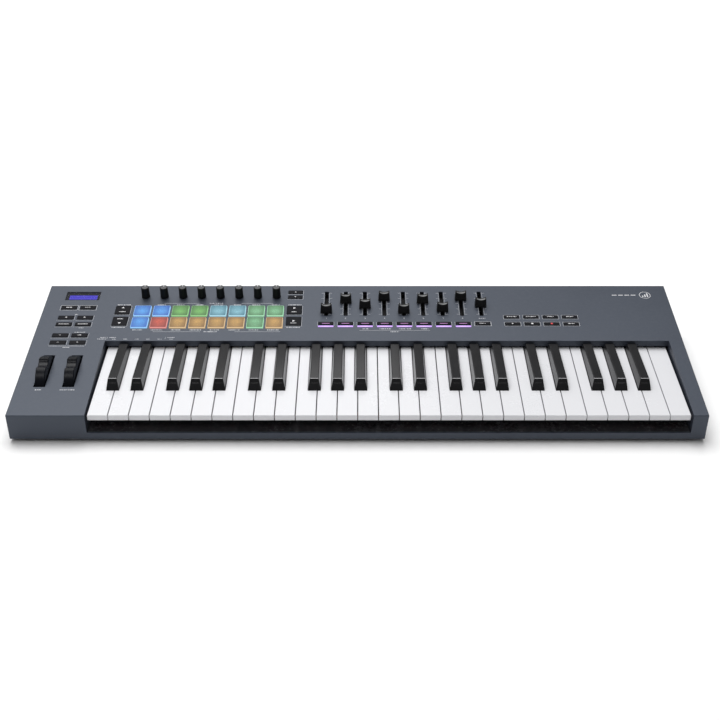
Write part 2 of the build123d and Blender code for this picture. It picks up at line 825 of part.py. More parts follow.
# ------------------------------------------------------------ boards
board_left = left_side + 16.5
board_right = transport_places[-1][0] + 24.0
board_rear = slope_of(rear_screw_y) - boss_radius - 2.2
board_front = slope_of(stop_bar[1]) + 3.0
tab_right = opening_left - wall - 2.0
tab_front = wheel_slope + wheel_slot[1] / 2 + 12.0
with BuildPart() as control_board:
    with BuildSketch(panel.offset(-board_drop)):
        with Locations((board_left, board_front)):
            Rectangle(board_right - board_left, board_rear - board_front, align=low_corner)
        with Locations((board_left, tab_front)):
            Rectangle(tab_right - board_left, board_rear - tab_front, align=low_corner)
        with Locations(*[(x, knob_slope) for x in pad_columns]):
            Circle(shaft_radius + 0.5, mode=Mode.SUBTRACT)
    extrude(amount=-board_thickness)
finish(control_board.part, "control_board")

with BuildPart() as main_board:
    with BuildSketch(Plane.XY.offset(main_board_height)):
        with Locations((main_board_left, main_board_rear)):
            Rectangle(*main_board_size, align=(Align.MIN, Align.MAX))
        with Locations(*housing_screws):
            Circle(boss_radius + clearance, mode=Mode.SUBTRACT)
    extrude(amount=board_thickness)
finish(main_board.part, "main_board")

# ------------------------------------------------------------ rotary and slide pots
pot_body = 9.6
bushing_radius = 4.3
with BuildPart() as knob_pots:
    with BuildSketch(panel.offset(-board_drop)):
        with Locations(*[(x, knob_slope) for x in pad_columns]):
            Rectangle(pot_body, pot_body)
    extrude(amount=5.0)
    with BuildSketch(panel.offset(-board_drop + 5.0)):
        with Locations(*[(x, knob_slope) for x in pad_columns]):
            Circle(bushing_radius)
    extrude(amount=board_drop - 5.0 - wall - 0.1)
    with BuildSketch(panel.offset(-board_drop)):
        with Locations(*[(x, knob_slope) for x in pad_columns]):
            Circle(shaft_radius + running_gap)
    extrude(amount=board_drop, mode=Mode.SUBTRACT)
finish(knob_pots.part, "knob_pots")

fader_body = (9.0, fader_travel + 14.0)
fader_body_top = 3.8
lever = (3.4, 1.4)
fader_middles = [(x, fader_slope) for x in fader_columns]
with BuildPart() as fader_pots:
    with BuildSketch(panel.offset(-board_drop)):
        with Locations(*fader_middles):
            Rectangle(*fader_body)
    extrude(amount=board_drop - fader_body_top)
    with BuildSketch(panel.offset(-fader_body_top)):
        with Locations(*fader_middles):
            Rectangle(lever[0] + 2 * clearance, fader_travel + lever[1] + 2.0)
    extrude(amount=-4.6, mode=Mode.SUBTRACT)
finish(fader_pots.part, "fader_pots")

# ------------------------------------------------------------ knobs
for number, x in enumerate(pad_columns, start=1):
    with BuildPart() as knob:
        with BuildSketch(panel.offset(0.5)):
            with Locations((x, knob_slope)):
                Circle(knob_radius)
        extrude(amount=knob_height - 0.5, taper=knob_taper)
        fillet(knob.faces().sort_by(Axis.Z)[-1].edges(), radius=0.5)
        with BuildSketch(panel.offset(-board_drop + 0.6)):
            with Locations((x, knob_slope)):
                Circle(shaft_radius)
        extrude(amount=board_drop + 2)
    finish(knob.part, "knob_" + str(number))

# ------------------------------------------------------------ faders
for number, (x, rest) in enumerate(zip(fader_columns, fader_rests), start=1):
    with BuildPart() as fader:
        with BuildSketch(panel.offset(1.0)):
            with Locations((x, rest)):
                Rectangle(*fader_base)
        with BuildSketch(panel.offset(fader_height)):
            with Locations((x, rest)):
                Rectangle(*fader_top)
        loft()
        side_plane = Plane(
            origin=panel.from_local_coords((x, rest, fader_height)),
            x_dir=(1, 0, 0),
            z_dir=-panel.y_dir,
        )
        with BuildSketch(side_plane):
            with Locations((0, fader_dip_radius - fader_dip_depth)):
                Circle(fader_dip_radius)
        extrude(amount=fader_base[1], both=True, mode=Mode.SUBTRACT)
        with BuildSketch(panel.offset(-fader_body_top - 4.0)):
            with Locations((x, rest)):
                Rectangle(*lever)
        extrude(amount=fader_body_top + 4.0 + 2.0)
    finish(fader.part, "fader_" + str(number))


# ------------------------------------------------------------ pads and buttons
def keycaps(places, size, rise, radius):
    """Caps in one silicone mat: cap, retaining flange and plunger for each place."""
    with BuildPart() as caps:
        with BuildSketch(panel.offset(-wall - flange_drop)):
            with Locations(*places):
                RectangleRounded(size[0], size[1], radius)
        extrude(amount=wall + flange_drop + rise)
        crown = caps.faces().group_by(Axis(panel.origin, panel.z_dir))[-1]
        fillet(crown.edges(), radius=cap_edge_radius)
        with BuildSketch(panel.offset(-wall - flange_drop)):
            with Locations(*places):
                Rectangle(size[0] + 2 * cap_flange, size[1] + 2 * cap_flange)
        extrude(amount=flange_thickness)
        with BuildSketch(panel.offset(-board_drop + button_travel + 0.5)):
            with Locations(*places):
                Rectangle(size[0] * 0.5, size[1] * 0.5)
        extrude(amount=board_drop - button_travel - 0.5 - wall - flange_drop)
    return caps.part


for row, name in zip(pad_rows, ("pads_upper_row", "pads_lower_row")):
    places = [(x, row) for x in pad_columns]
    finish(keycaps(places, pad_size, pad_rise, pad_corner), name)
finish(keycaps(left_places, left_button, button_rise, button_corner), "left_buttons")
finish(
    keycaps(fader_button_places, fader_button, button_rise, button_corner),
    "fader_buttons",
)
finish(
    keycaps(transport_places, transport_button, button_rise, button_corner),
    "transport_buttons",
)
square_caps = keycaps(nav_places, nav_button, button_rise, button_corner)
page_caps = keycaps(page_places, page_button, button_rise, button_corner)
finish(Compound(children=[square_caps, page_caps]), "navigation_buttons")

# ------------------------------------------------------------ rear sockets
with BuildPart() as usb_socket:
    block(usb_x - usb_shell[0] / 2, usb_x + usb_shell[0] / 2,
          rear_y - socket_inset - usb_shell[1], rear_y - socket_inset,
          main_board_top, main_board_top + usb_shell[2])
    usb_middle = main_board_top + usb_shell[2] / 2
    with BuildSketch(Plane.XZ.offset(-rear_y + socket_inset)):
        with Locations((usb_x, usb_middle)):
            Rectangle(*usb_mouth)
            Rectangle(*usb_tongue, mode=Mode.SUBTRACT)
    extrude(amount=usb_mouth_depth, mode=Mode.SUBTRACT)
finish(usb_socket.part, "usb_socket")

midi_middle = main_board_top + midi_body[2] / 2
with BuildPart() as midi_out_socket:
    block(midi_x - midi_body[0] / 2, midi_x + midi_body[0] / 2,
          inner_rear - clearance - midi_body[1], inner_rear - clearance,
          main_board_top, main_board_top + midi_body[2])
    with BuildSketch(Plane.XZ.offset(-rear_y + socket_inset)):
        with Locations((midi_x, midi_middle)):
            Circle(midi_face_radius)
    extrude(amount=wall + 1)
    with BuildSketch(Plane.XZ.offset(-rear_y + socket_inset)):
        with Locations((midi_x, midi_middle)):
            Circle(6.8)
            Circle(5.9, mode=Mode.SUBTRACT)
            for angle in (0, 45, 90, 135, 180):
                pin = (midi_pin_circle * cos(radians(angle)),
                       midi_pin_circle * sin(radians(angle)))
                with Locations((midi_x + pin[0], midi_middle + pin[1])):
                    Circle(0.8)
    extrude(amount=8.0, mode=Mode.SUBTRACT)
finish(midi_out_socket.part, "midi_out_socket")

jack_middle = main_board_top + jack_body[2] / 2
with BuildPart() as sustain_jack:
    block(jack_x - jack_body[0] / 2, jack_x + jack_body[0] / 2,
          inner_rear - clearance - jack_body[1], inner_rear - clearance,
          main_board_top, main_board_top + jack_body[2])
    with BuildSketch(Plane.XZ.offset(-rear_y + socket_inset)):
        with Locations((jack_x, jack_middle)):
            Circle(jack_nose_radius)
    extrude(amount=wall + 1)
    with BuildSketch(Plane.XZ.offset(-rear_y + socket_inset)):
        with Locations((jack_x, jack_middle)):
            Circle(jack_bore_radius)
    extrude(amount=jack_bore_length, mode=Mode.SUBTRACT)
finish(sustain_jack.part, "sustain_jack")

# ------------------------------------------------------------ ribbon_cable
ribbon_thickness = 0.8
ribbon_width = 24.0
ribbon_y = main_board_rear - main_board_size[1] + 4.0
ribbon_top_y = ribbon_y + 8.0
ribbon_top = panel_z(ribbon_top_y) - (board_drop + board_thickness) / cos(tilt)
board_ribbon_x = main_board_left + 60.0
with BuildPart() as ribbon_cable:
    with BuildSketch(Plane.YZ.offset(board_ribbon_x)):
        with BuildLine():
            bend = (ribbon_y, (main_board_top + ribbon_top) / 2)
            Polyline((ribbon_y + 2, main_board_top + 0.3), bend, (ribbon_top_y, ribbon_top - 0.3))
        trace(line_width=ribbon_thickness)
    extrude(amount=ribbon_width)
finish(ribbon_cable.part, "ribbon_cable")
print("pieces written")
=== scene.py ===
"""Looks of a 49-note desktop keyboard controller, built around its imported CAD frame."""

import json
import logging
import math
import random
from dataclasses import dataclass, field
from enum import Enum
from typing import Iterable, Sequence

import bmesh
import bpy
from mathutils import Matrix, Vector


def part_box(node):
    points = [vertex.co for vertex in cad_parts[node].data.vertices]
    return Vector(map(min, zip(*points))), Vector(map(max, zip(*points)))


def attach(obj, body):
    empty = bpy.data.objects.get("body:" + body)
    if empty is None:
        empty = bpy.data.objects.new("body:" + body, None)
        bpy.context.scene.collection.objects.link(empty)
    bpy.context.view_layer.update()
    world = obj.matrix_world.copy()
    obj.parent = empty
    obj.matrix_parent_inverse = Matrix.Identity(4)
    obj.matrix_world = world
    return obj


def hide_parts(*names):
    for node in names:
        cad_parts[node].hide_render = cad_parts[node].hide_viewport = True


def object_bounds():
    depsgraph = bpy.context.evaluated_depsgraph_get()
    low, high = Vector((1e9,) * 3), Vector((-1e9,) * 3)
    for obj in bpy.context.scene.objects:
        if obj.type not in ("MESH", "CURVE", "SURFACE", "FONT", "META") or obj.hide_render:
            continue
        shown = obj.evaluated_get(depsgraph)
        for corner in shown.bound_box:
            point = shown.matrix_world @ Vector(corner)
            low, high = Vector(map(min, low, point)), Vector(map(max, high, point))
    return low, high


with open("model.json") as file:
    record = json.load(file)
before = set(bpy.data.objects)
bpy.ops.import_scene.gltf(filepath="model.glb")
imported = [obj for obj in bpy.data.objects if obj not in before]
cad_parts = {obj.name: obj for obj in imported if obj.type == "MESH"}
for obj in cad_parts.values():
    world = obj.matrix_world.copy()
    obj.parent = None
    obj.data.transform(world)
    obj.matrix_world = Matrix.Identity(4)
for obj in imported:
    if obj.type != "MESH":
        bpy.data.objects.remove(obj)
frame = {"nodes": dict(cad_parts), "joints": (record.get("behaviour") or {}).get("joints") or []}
CAD_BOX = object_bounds()
MM = 0.001
LOG = logging.getLogger("keyboard")

Colour = tuple[float, float, float]
Point2 = tuple[float, float]
Point3 = tuple[float, float, float]


# ---------------------------------------------------------------- named choices
class Slot(Enum):
    """Material slots of the record, stored with each set of printed marks."""

    CASE = "case_plastic"
    DISPLAY = "display_panel"
    KNOB = "knob_rubber"
    FADER = "fader_plastic"
    PAD = "pad_silicone"
    BUTTON = "button_silicone"


class Effect(Enum):
    """Shader node groups that several finishes share."""

    GRAIN = "moulded_grain"
    WEAR_AND_HIGHLIGHT = "edge_wear"
    DUST = "settled_dust"
    GLOW = "centre_glow"


class Side(Enum):
    """Sides of a printed or moulded frame."""

    NEAR = "near"
    FAR = "far"
    LEFT = "left"
    RIGHT = "right"


# ---------------------------------------------------------------- panel geometry
@dataclass(frozen=True)
class Panel:
    """The tilted control panel, read from the frame's own joints."""

    origin: Vector
    across: Vector
    up_slope: Vector
    normal: Vector

    @staticmethod
    def from_frame() -> "Panel":
        """Find the panel plane from a knob's axis and a slider's direction.

        Returns:
            The panel, with its origin on the front edge at the middle.
        """
        joints = {joint["name"]: joint for joint in frame["joints"]}
        normal = Vector(joints["knob_1_turn"]["axis"]).normalized()
        slope = Vector(joints["fader_1_slide"]["axis"]).normalized()
        through = Vector(joints["knob_1_turn"]["pos_m"])
        front_y = CAD_BOX[0][1]
        run = (front_y - through.y) / slope.y
        origin = through + slope * run
        return Panel(Vector((0.0, origin.y, origin.z)), Vector((1, 0, 0)), slope, normal)

    def point(self, x: float, q: float, lift: float = 0.0) -> Vector:
        """Place a panel point given in millimetres.

        Args:
            x: Distance to the right of the middle.
            q: Distance up the slope from the front edge.
            lift: Height above the panel.

        Returns:
            The point in metres in the row frame.
        """
        along = self.across * (x * MM) + self.up_slope * (q * MM)
        return self.origin + along + self.normal * (lift * MM)

    def local(self, point: Vector) -> Point3:
        """Read a row-frame point in panel millimetres.

        Args:
            point: A point in metres.

        Returns:
            Its x, slope distance and lift in millimetres.
        """
        reach = point - self.origin
        return (
            reach.dot(self.across) / MM,
            reach.dot(self.up_slope) / MM,
            reach.dot(self.normal) / MM,
        )


PANEL = Panel.from_frame()


@dataclass(frozen=True)
class Cap:
    """One separate solid of a CAD node, measured in panel millimetres."""

    x: float
    q: float
    width: float
    height: float
    top: float


def islands(node: str, top_band: float = 0.6) -> list[Cap]:
    """Measure each solid of a CAD node by the top of its body.

    Args:
        node: Name of the CAD node.
        top_band: Depth below its highest point that counts as its top.

    Returns:
        One measured cap per solid, front row first, each row left to right.
    """
    work = bmesh.new()
    work.from_mesh(frame["nodes"][node].data)
    bmesh.ops.remove_doubles(work, verts=work.verts, dist=1e-6)
    work.verts.ensure_lookup_table()
    seen: set[int] = set()
    found = []
    for start in work.verts:
        if start.index in seen:
            continue
        stack = [start]
        seen.add(start.index)
        points = []
        while stack:
            vert = stack.pop()
            points.append(PANEL.local(vert.co))
            for edge in vert.link_edges:
                other = edge.other_vert(vert)
                if other.index not in seen:
                    seen.add(other.index)
                    stack.append(other)
        top = max(point[2] for point in points)
        upper = [point for point in points if point[2] > top - top_band]
        low_x, high_x = min(p[0] for p in upper), max(p[0] for p in upper)
        low_q, high_q = min(p[1] for p in upper), max(p[1] for p in upper)
        middle = ((low_x + high_x) / 2, (low_q + high_q) / 2)
        found.append(Cap(*middle, high_x - low_x, high_q - low_q, top))
    work.free()
    return sorted(found, key=lambda cap: (round(cap.q / 4), cap.x))


# ---------------------------------------------------------------- shader effects
Tree = bpy.types.NodeTree
Node = bpy.types.Node
Socket = bpy.types.NodeSocket


def feed(node: Node, inputs: dict) -> None:
    """Link sockets to a node's inputs and set plain values on the others.

    Args:
        node: The node.
        inputs: Output socket or plain value for each input, by its name or number.
    """
    for key, value in inputs.items():
        if isinstance(value, Socket):
            node.id_data.links.new(value, node.inputs[key])
        else:
            node.inputs[key].default_value = value


def place(tree: Tree, kind: str, *inputs: object, **values: object) -> Node:
    """Add a node, set its properties and feed its inputs.

    Args:
        tree: Node tree that takes the node.
        kind: Blender's identifier of the node.
        *inputs: Output sockets or plain values for the first inputs.
        **values: Properties by name, or inputs by their name after "in_".

    Returns:
        The new node.
    """
    node = tree.nodes.new(kind)
    feeds = dict(enumerate(inputs))
    for key, value in values.items():
        if key.startswith("in_"):
            feeds[key[3:].replace("_", " ")] = value
        else:
            setattr(node, key, value)
    feed(node, feeds)
    return node


def calculate(tree: Tree, operation: str, *inputs: object) -> Socket:
    """Add a math node and give its result."""
    return place(tree, "ShaderNodeMath", *inputs, operation=operation).outputs[0]


def remap(tree: Tree, value: Socket, *limits: object) -> Socket:
    """Map a value from one range (two limits) to another (the next two, or 0 to 1)."""
    return place(tree, "ShaderNodeMapRange", value, *limits).outputs[0]


def mixed(tree: Tree, factor: Socket, first: object, second: object) -> Socket:
    """Mix two colours and give the result."""
    node = place(tree, "ShaderNodeMix", data_type="RGBA", in_Factor=factor, in_A=first, in_B=second)
    return node.outputs["Result"]


def coordinates(tree: Tree, kind: str = "Object") -> Socket:
    """Give one kind of a piece's own coordinates."""
    return place(tree, "ShaderNodeTexCoord").outputs[kind]


def noise(tree: Tree, scale: object, detail: float = 2.0, roughness: float = 0.5) -> Socket:
    """Give cloudy noise over a piece.

    Args:
        tree: Node tree that takes the nodes.
        scale: Scale of the noise, plain or from a socket.
        detail: Number of finer layers.
        roughness: Strength of the finer layers.

    Returns:
        The noise, 0 to 1.
    """
    node = place(
        tree, "ShaderNodeTexNoise", in_Vector=coordinates(tree), in_Scale=scale,
        in_Detail=detail, in_Roughness=roughness,
    )
    return node.outputs["Fac"]


def split_normal(tree: Tree) -> bpy.types.NodeOutputs:
    """Give X, Y and Z of the surface's normal."""
    shape = place(tree, "ShaderNodeNewGeometry")
    return place(tree, "ShaderNodeSeparateXYZ", shape.outputs["Normal"]).outputs


def new_group(effect: Effect, inputs: Sequence[tuple], outputs: Sequence[tuple]) -> tuple:
    """Make an empty shader node group with named sockets.

    Args:
        effect: Effect that names the group.
        inputs: Name, socket type and first value of each input.
        outputs: Name and socket type of each output.

    Returns:
        The group, the sockets that give its inputs and those that take its outputs.
    """
    group = bpy.data.node_groups.new(effect.value, "ShaderNodeTree")
    for name, kind, value in inputs:
        group.interface.new_socket(name, in_out="INPUT", socket_type=kind).default_value = value
    for name, kind in outputs:
        group.interface.new_socket(name, in_out="OUTPUT", socket_type=kind)
    source = group.nodes.new("NodeGroupInput")
    target = group.nodes.new("NodeGroupOutput")
    return group, source.outputs, target


class EffectGroups:
    """Builds each shared effect once and hands out nodes that use it."""

    def __init__(self) -> None:
        """Start with no groups built."""
        self.built: dict[Effect, Tree] = {}
        self.makers = {
            Effect.GRAIN: self._grain, Effect.WEAR_AND_HIGHLIGHT: self._wear_and_highlight,
            Effect.DUST: self._dust, Effect.GLOW: self._glow,
        }

    def use(self, tree: Tree, effect: Effect, **values: object) -> bpy.types.NodeOutputs:
        """Place an effect's group in a material, building it at its first use.

        Args:
            tree: The material's node tree.
            effect: The effect wanted.
            **values: Input values or sockets, with underscores for spaces.

        Returns:
            The outputs of the group node.
        """
        if effect not in self.built:
            self.built[effect] = self.makers[effect]()
        feeds = {"in_" + key: value for key, value in values.items()}
        return place(tree, "ShaderNodeGroup", node_tree=self.built[effect], **feeds).outputs

    @staticmethod
    def _grain() -> Tree:
        """Spark-eroded mould grain: colour, roughness and height that vary."""
        group, given, target = new_group(
            Effect.GRAIN,
            [
                ("Deep", "NodeSocketColor", (0.1, 0.1, 0.1, 1)),
                ("Light", "NodeSocketColor", (0.2, 0.2, 0.2, 1)),
                ("Grain Scale", "NodeSocketFloat", 900.0),
                ("Cloud Scale", "NodeSocketFloat", 9.0),
                ("Rough Low", "NodeSocketFloat", 0.35),
                ("Rough High", "NodeSocketFloat", 0.5),
            ],
            [("Color", "NodeSocketColor"), ("Roughness", "NodeSocketFloat"), ("Height", "NodeSocketFloat")],
        )
        fine = noise(group, given["Grain Scale"], 3.0, 0.6)
        cloud = noise(group, given["Cloud Scale"], 4.0, 0.55)
        cell = place(
            group, "ShaderNodeTexVoronoi", feature="SMOOTH_F1",
            in_Vector=coordinates(group), in_Scale=given["Grain Scale"],
        )
        share = calculate(group, "MULTIPLY", fine, 0.25)
        blend = calculate(group, "MULTIPLY_ADD", cloud, 0.75, share)
        tint = mixed(group, remap(group, blend, 0.3, 0.7), given["Deep"], given["Light"])
        rough = remap(group, blend, 0.25, 0.75, given["Rough Low"], given["Rough High"])
        height = calculate(group, "MULTIPLY_ADD", cell.outputs["Distance"], 0.6, fine)
        feed(target, {"Color": tint, "Roughness": rough, "Height": height})
        return group

    @staticmethod
    def _wear_and_highlight() -> Tree:
        """Paler colour on worn edges, which on black keys are painted highlights, and a painted highlight on
        shoulders that look forward, with rounded normals.
        """
        group, given, target = new_group(
            Effect.WEAR_AND_HIGHLIGHT,
            [
                ("Color", "NodeSocketColor", (0.1, 0.1, 0.1, 1)),
                ("Worn", "NodeSocketColor", (0.3, 0.3, 0.3, 1)),
                ("Amount", "NodeSocketFloat", 0.4),
                ("Radius", "NodeSocketFloat", 0.001),
                ("Polish", "NodeSocketFloat", 0.0),
            ],
            [("Color", "NodeSocketColor"), ("Normal", "NodeSocketVector")],
        )
        flat = place(group, "ShaderNodeNewGeometry").outputs["Normal"]
        rounded_off = place(group, "ShaderNodeBevel", given["Radius"], samples=4).outputs["Normal"]
        turn = place(group, "ShaderNodeVectorMath", rounded_off, flat, operation="DOT_PRODUCT")
        edge = remap(group, turn.outputs["Value"], 0.995, 0.86)
        broken = remap(group, noise(group, 60.0, 4.0), 0.35, 0.75)
        worn = calculate(group, "MULTIPLY", edge, broken)
        normal = split_normal(group)
        # Painted highlight: a pale band on the shoulder where a top turns down to the front, standing in for
        # the light it catches.
        brow = calculate(group, "COMPARE", normal["Z"], 0.84, 0.1)
        forward = calculate(group, "LESS_THAN", normal["Y"], -0.2)
        shoulder = calculate(group, "MULTIPLY", brow, forward)
        shoulder_highlight = calculate(group, "MULTIPLY", shoulder, given["Polish"])
        mask = calculate(group, "MULTIPLY_ADD", worn, given["Amount"], shoulder_highlight)
        feed(target, {"Color": mixed(group, mask, given["Color"], given["Worn"]), "Normal": rounded_off})
        return group

    @staticmethod
    def _dust() -> Tree:
        """A thin film of dust on faces that look up."""
        group, given, target = new_group(
            Effect.DUST,
            [
                ("Color", "NodeSocketColor", (0.1, 0.1, 0.1, 1)),
                ("Roughness", "NodeSocketFloat", 0.4),
                ("Amount", "NodeSocketFloat", 0.05),
            ],
            [("Color", "NodeSocketColor"), ("Roughness", "NodeSocketFloat")],
        )
        up = remap(group, split_normal(group)["Z"], 0.6, 1.0)
        thin = remap(group, noise(group, 240.0, 6.0), 0.45, 0.8)
        film = calculate(group, "MULTIPLY", up, thin)
        mask = calculate(group, "MULTIPLY", film, given["Amount"])
        tint = mixed(group, mask, given["Color"], (0.5, 0.5, 0.5, 1))
        rough = calculate(group, "MULTIPLY_ADD", mask, 0.5, given["Roughness"])
        feed(target, {"Color": tint, "Roughness": rough})
        return group

    @staticmethod
    def _glow() -> Tree:
        """Light that is strongest over the lamp and fades towards the sides."""
        group, given, target = new_group(
            Effect.GLOW,
            [
                ("Side", "NodeSocketColor", (0.1, 0.1, 0.4, 1)),
                ("Middle", "NodeSocketColor", (0.3, 0.5, 1.0, 1)),
                ("Spread", "NodeSocketFloat", 0.55),
                ("Lens Scale", "NodeSocketFloat", 620.0),
            ],
            [("Color", "NodeSocketColor"), ("Height", "NodeSocketFloat")],
        )
        split = place(group, "ShaderNodeSeparateXYZ", coordinates(group, "Generated")).outputs
        flat = place(group, "ShaderNodeCombineXYZ", split["X"], split["Y"]).outputs[0]
        reach = place(group, "ShaderNodeVectorMath", flat, (0.5, 0.5, 0.0), operation="DISTANCE")
        falloff = place(
            group, "ShaderNodeMapRange", reach.outputs["Value"], 0.05, given["Spread"], 1.0, 0.0,
            interpolation_type="SMOOTHSTEP",
        )
        lens = place(
            group, "ShaderNodeTexVoronoi", in_Vector=coordinates(group),
            in_Scale=given["Lens Scale"], in_Randomness=0.35,
        ).outputs["Distance"]
        dots = remap(group, lens, 0.1, 0.6, 1.15, 0.45)
        lit = calculate(group, "MULTIPLY", falloff.outputs[0], dots)
        feed(target, {"Color": mixed(group, lit, given["Side"], given["Middle"]), "Height": lens})
        return group


EFFECTS = EffectGroups()


def rgba(colour: Colour) -> tuple[float, float, float, float]:
    """Add full opacity to a colour."""
    return (*colour, 1.0)


def blank_material(name: str) -> tuple[bpy.types.Material, Tree, Node]:
    """Start a node material.

    Args:
        name: Name of the material.

    Returns:
        The material, its tree and its Principled shader.
    """
    material = bpy.data.materials.new(name)
    material.use_nodes = True
    tree = material.node_tree
    shader = next(node for node in tree.nodes if node.type == "BSDF_PRINCIPLED")
    return material, tree, shader


# ---------------------------------------------------------------- finishes
@dataclass(frozen=True)
class Moulded:
    """Moulded plastic or rubber with grain, paler edges, a painted highlight on forward shoulders where
    asked, and a little dust. The paler edges are wear, and on the black keys painted highlights.
    """

    name: str
    deep: Colour
    light: Colour
    rough_low: float = 0.38
    rough_high: float = 0.5
    grain_scale: float = 1400.0
    cloud_scale: float = 7.0
    bump: float = 0.08
    bump_distance: float = 0.00008
    worn: Colour = (0.3, 0.3, 0.3)
    wear_and_highlight: float = 0.15
    edge_radius: float = 0.0006
    polish: float = 0.0
    dust: float = 0.04
    specular: float = 0.5
    specular_tint: Colour = (1.0, 1.0, 1.0)
    coat: float = 0.0
    coat_roughness: float = 0.1
    metallic: float = 0.0
    sheen: float = 0.0

    def build(self) -> bpy.types.Material:
        """Build the material."""
        material, tree, shader = blank_material(self.name)
        grain = EFFECTS.use(
            tree, Effect.GRAIN, Deep=rgba(self.deep), Light=rgba(self.light),
            Grain_Scale=self.grain_scale, Cloud_Scale=self.cloud_scale,
            Rough_Low=self.rough_low, Rough_High=self.rough_high,
        )
        wear_and_highlight = EFFECTS.use(
            tree, Effect.WEAR_AND_HIGHLIGHT, Color=grain["Color"], Worn=rgba(self.worn), Amount=self.wear_and_highlight,
            Radius=self.edge_radius, Polish=self.polish,
        )
        dust = EFFECTS.use(
            tree, Effect.DUST, Color=wear_and_highlight["Color"], Roughness=grain["Roughness"], Amount=self.dust,
        )
        bump = place(
            tree, "ShaderNodeBump", in_Strength=self.bump, in_Distance=self.bump_distance,
            in_Height=grain["Height"], in_Normal=wear_and_highlight["Normal"],
        )
        feed(shader, {
            "Base Color": dust["Color"], "Roughness": dust["Roughness"],
            "Normal": bump.outputs["Normal"],
            "Specular IOR Level": self.specular, "Specular Tint": rgba(self.specular_tint),
            "Coat Weight": self.coat, "Coat Roughness": self.coat_roughness,
            "Metallic": self.metallic, "Sheen Weight": self.sheen,
        })
        return material


@dataclass(frozen=True)
class LitSilicone:
    """Translucent silicone over a coloured lamp."""

    name: str
    side: Colour
    middle: Colour
    body: Colour
    strength: float = 1.0
    spread: float = 0.62

    def build(self) -> bpy.types.Material:
        """Build the material."""
        material, tree, shader = blank_material(self.name)
        glow = EFFECTS.use(
            tree, Effect.GLOW, Side=rgba(self.side), Middle=rgba(self.middle), Spread=self.spread,
        )
        grain = EFFECTS.use(
            tree, Effect.GRAIN, Deep=rgba(self.body), Light=rgba(tuple(c * 1.2 for c in self.body)),
            Rough_Low=0.4, Rough_High=0.55, Grain_Scale=1600.0,
        )
        bump = place(
            tree, "ShaderNodeBump", in_Strength=0.15, in_Distance=0.0001, in_Height=glow["Height"],
        )
        feed(shader, {
            "Base Color": grain["Color"], "Roughness": grain["Roughness"],
            "Normal": bump.outputs["Normal"],
            "Emission Color": glow["Color"], "Emission Strength": self.strength,
        })
        return material


@dataclass(frozen=True)
class CrystalDisplay:
    """Backlit liquid crystal with its grid of character cells."""

    name: str = "crystal_display"
    field_colour: Colour = (0.035, 0.022, 0.44)
    cell_colour: Colour = (0.075, 0.058, 0.62)
    glass_colour: Colour = (0.004, 0.004, 0.02)
    lines: tuple[float, float] = (16.0, 2.0)
    half_cell: float = 0.38
    strength: float = 1.9

    def build(self) -> bpy.types.Material:
        """Build the material."""
        material, tree, shader = blank_material(self.name)
        split = place(tree, "ShaderNodeSeparateXYZ", coordinates(tree, "Generated")).outputs
        masks = []
        for axis, count in zip("XY", self.lines):
            part = calculate(tree, "FRACT", calculate(tree, "MULTIPLY", split[axis], count))
            masks.append(calculate(tree, "COMPARE", part, 0.5, self.half_cell))
        cells = calculate(tree, "MULTIPLY", *masks)
        feed(shader, {
            "Base Color": rgba(self.glass_colour),
            "Roughness": remap(tree, noise(tree, 120.0), 0.0, 1.0, 0.12, 0.22),
            "Specular IOR Level": 0.04,
            "Emission Color": mixed(tree, cells, rgba(self.field_colour), rgba(self.cell_colour)),
            "Emission Strength": self.strength,
        })
        return material


@dataclass(frozen=True)
class SmokedWindow:
    """Smoked acrylic window with faint wiping marks."""

    name: str = "smoked_window"
    tint: Colour = (0.06, 0.062, 0.07)
    cover: float = 0.3

    def build(self) -> bpy.types.Material:
        """Build the material."""
        material, tree, shader = blank_material(self.name)
        feed(shader, {
            "Base Color": rgba(self.tint),
            "Roughness": remap(tree, noise(tree, 35.0, 5.0), 0.0, 1.0, 0.03, 0.12),
            "Alpha": self.cover,
            "Specular IOR Level": 0.02,
        })
        return material


Finish = Moulded | LitSilicone | CrystalDisplay | SmokedWindow

CASE = Moulded(
    "slate_case", (0.032, 0.038, 0.052), (0.038, 0.045, 0.061), 0.36, 0.44,
    grain_scale=1700.0, cloud_scale=5.0, bump=0.10, worn=(0.14, 0.15, 0.18), wear_and_highlight=0.25, dust=0.015,
    specular=0.55, specular_tint=(0.78, 0.86, 1.0),
)
BASE = Moulded(
    "base_shell", (0.024, 0.027, 0.034), (0.03, 0.033, 0.041), 0.5, 0.62, grain_scale=900.0, bump=0.25,
)
FEET = Moulded("foot_rubber_matt", (0.012, 0.012, 0.013), (0.02, 0.02, 0.021), 0.75, 0.9, dust=0.1)
KEYBED = Moulded("keybed_black", (0.028, 0.028, 0.031), (0.033, 0.033, 0.037), 0.22, 0.3, bump=0.02, wear_and_highlight=0.0)
WHITE = Moulded(
    "white_key_gloss", (0.714, 0.717, 0.741), (0.718, 0.721, 0.745), 0.24, 0.29, grain_scale=500.0,
    cloud_scale=14.0, bump=0.006, worn=(0.85, 0.85, 0.84), wear_and_highlight=0.05, dust=0.0, coat=0.2,
)
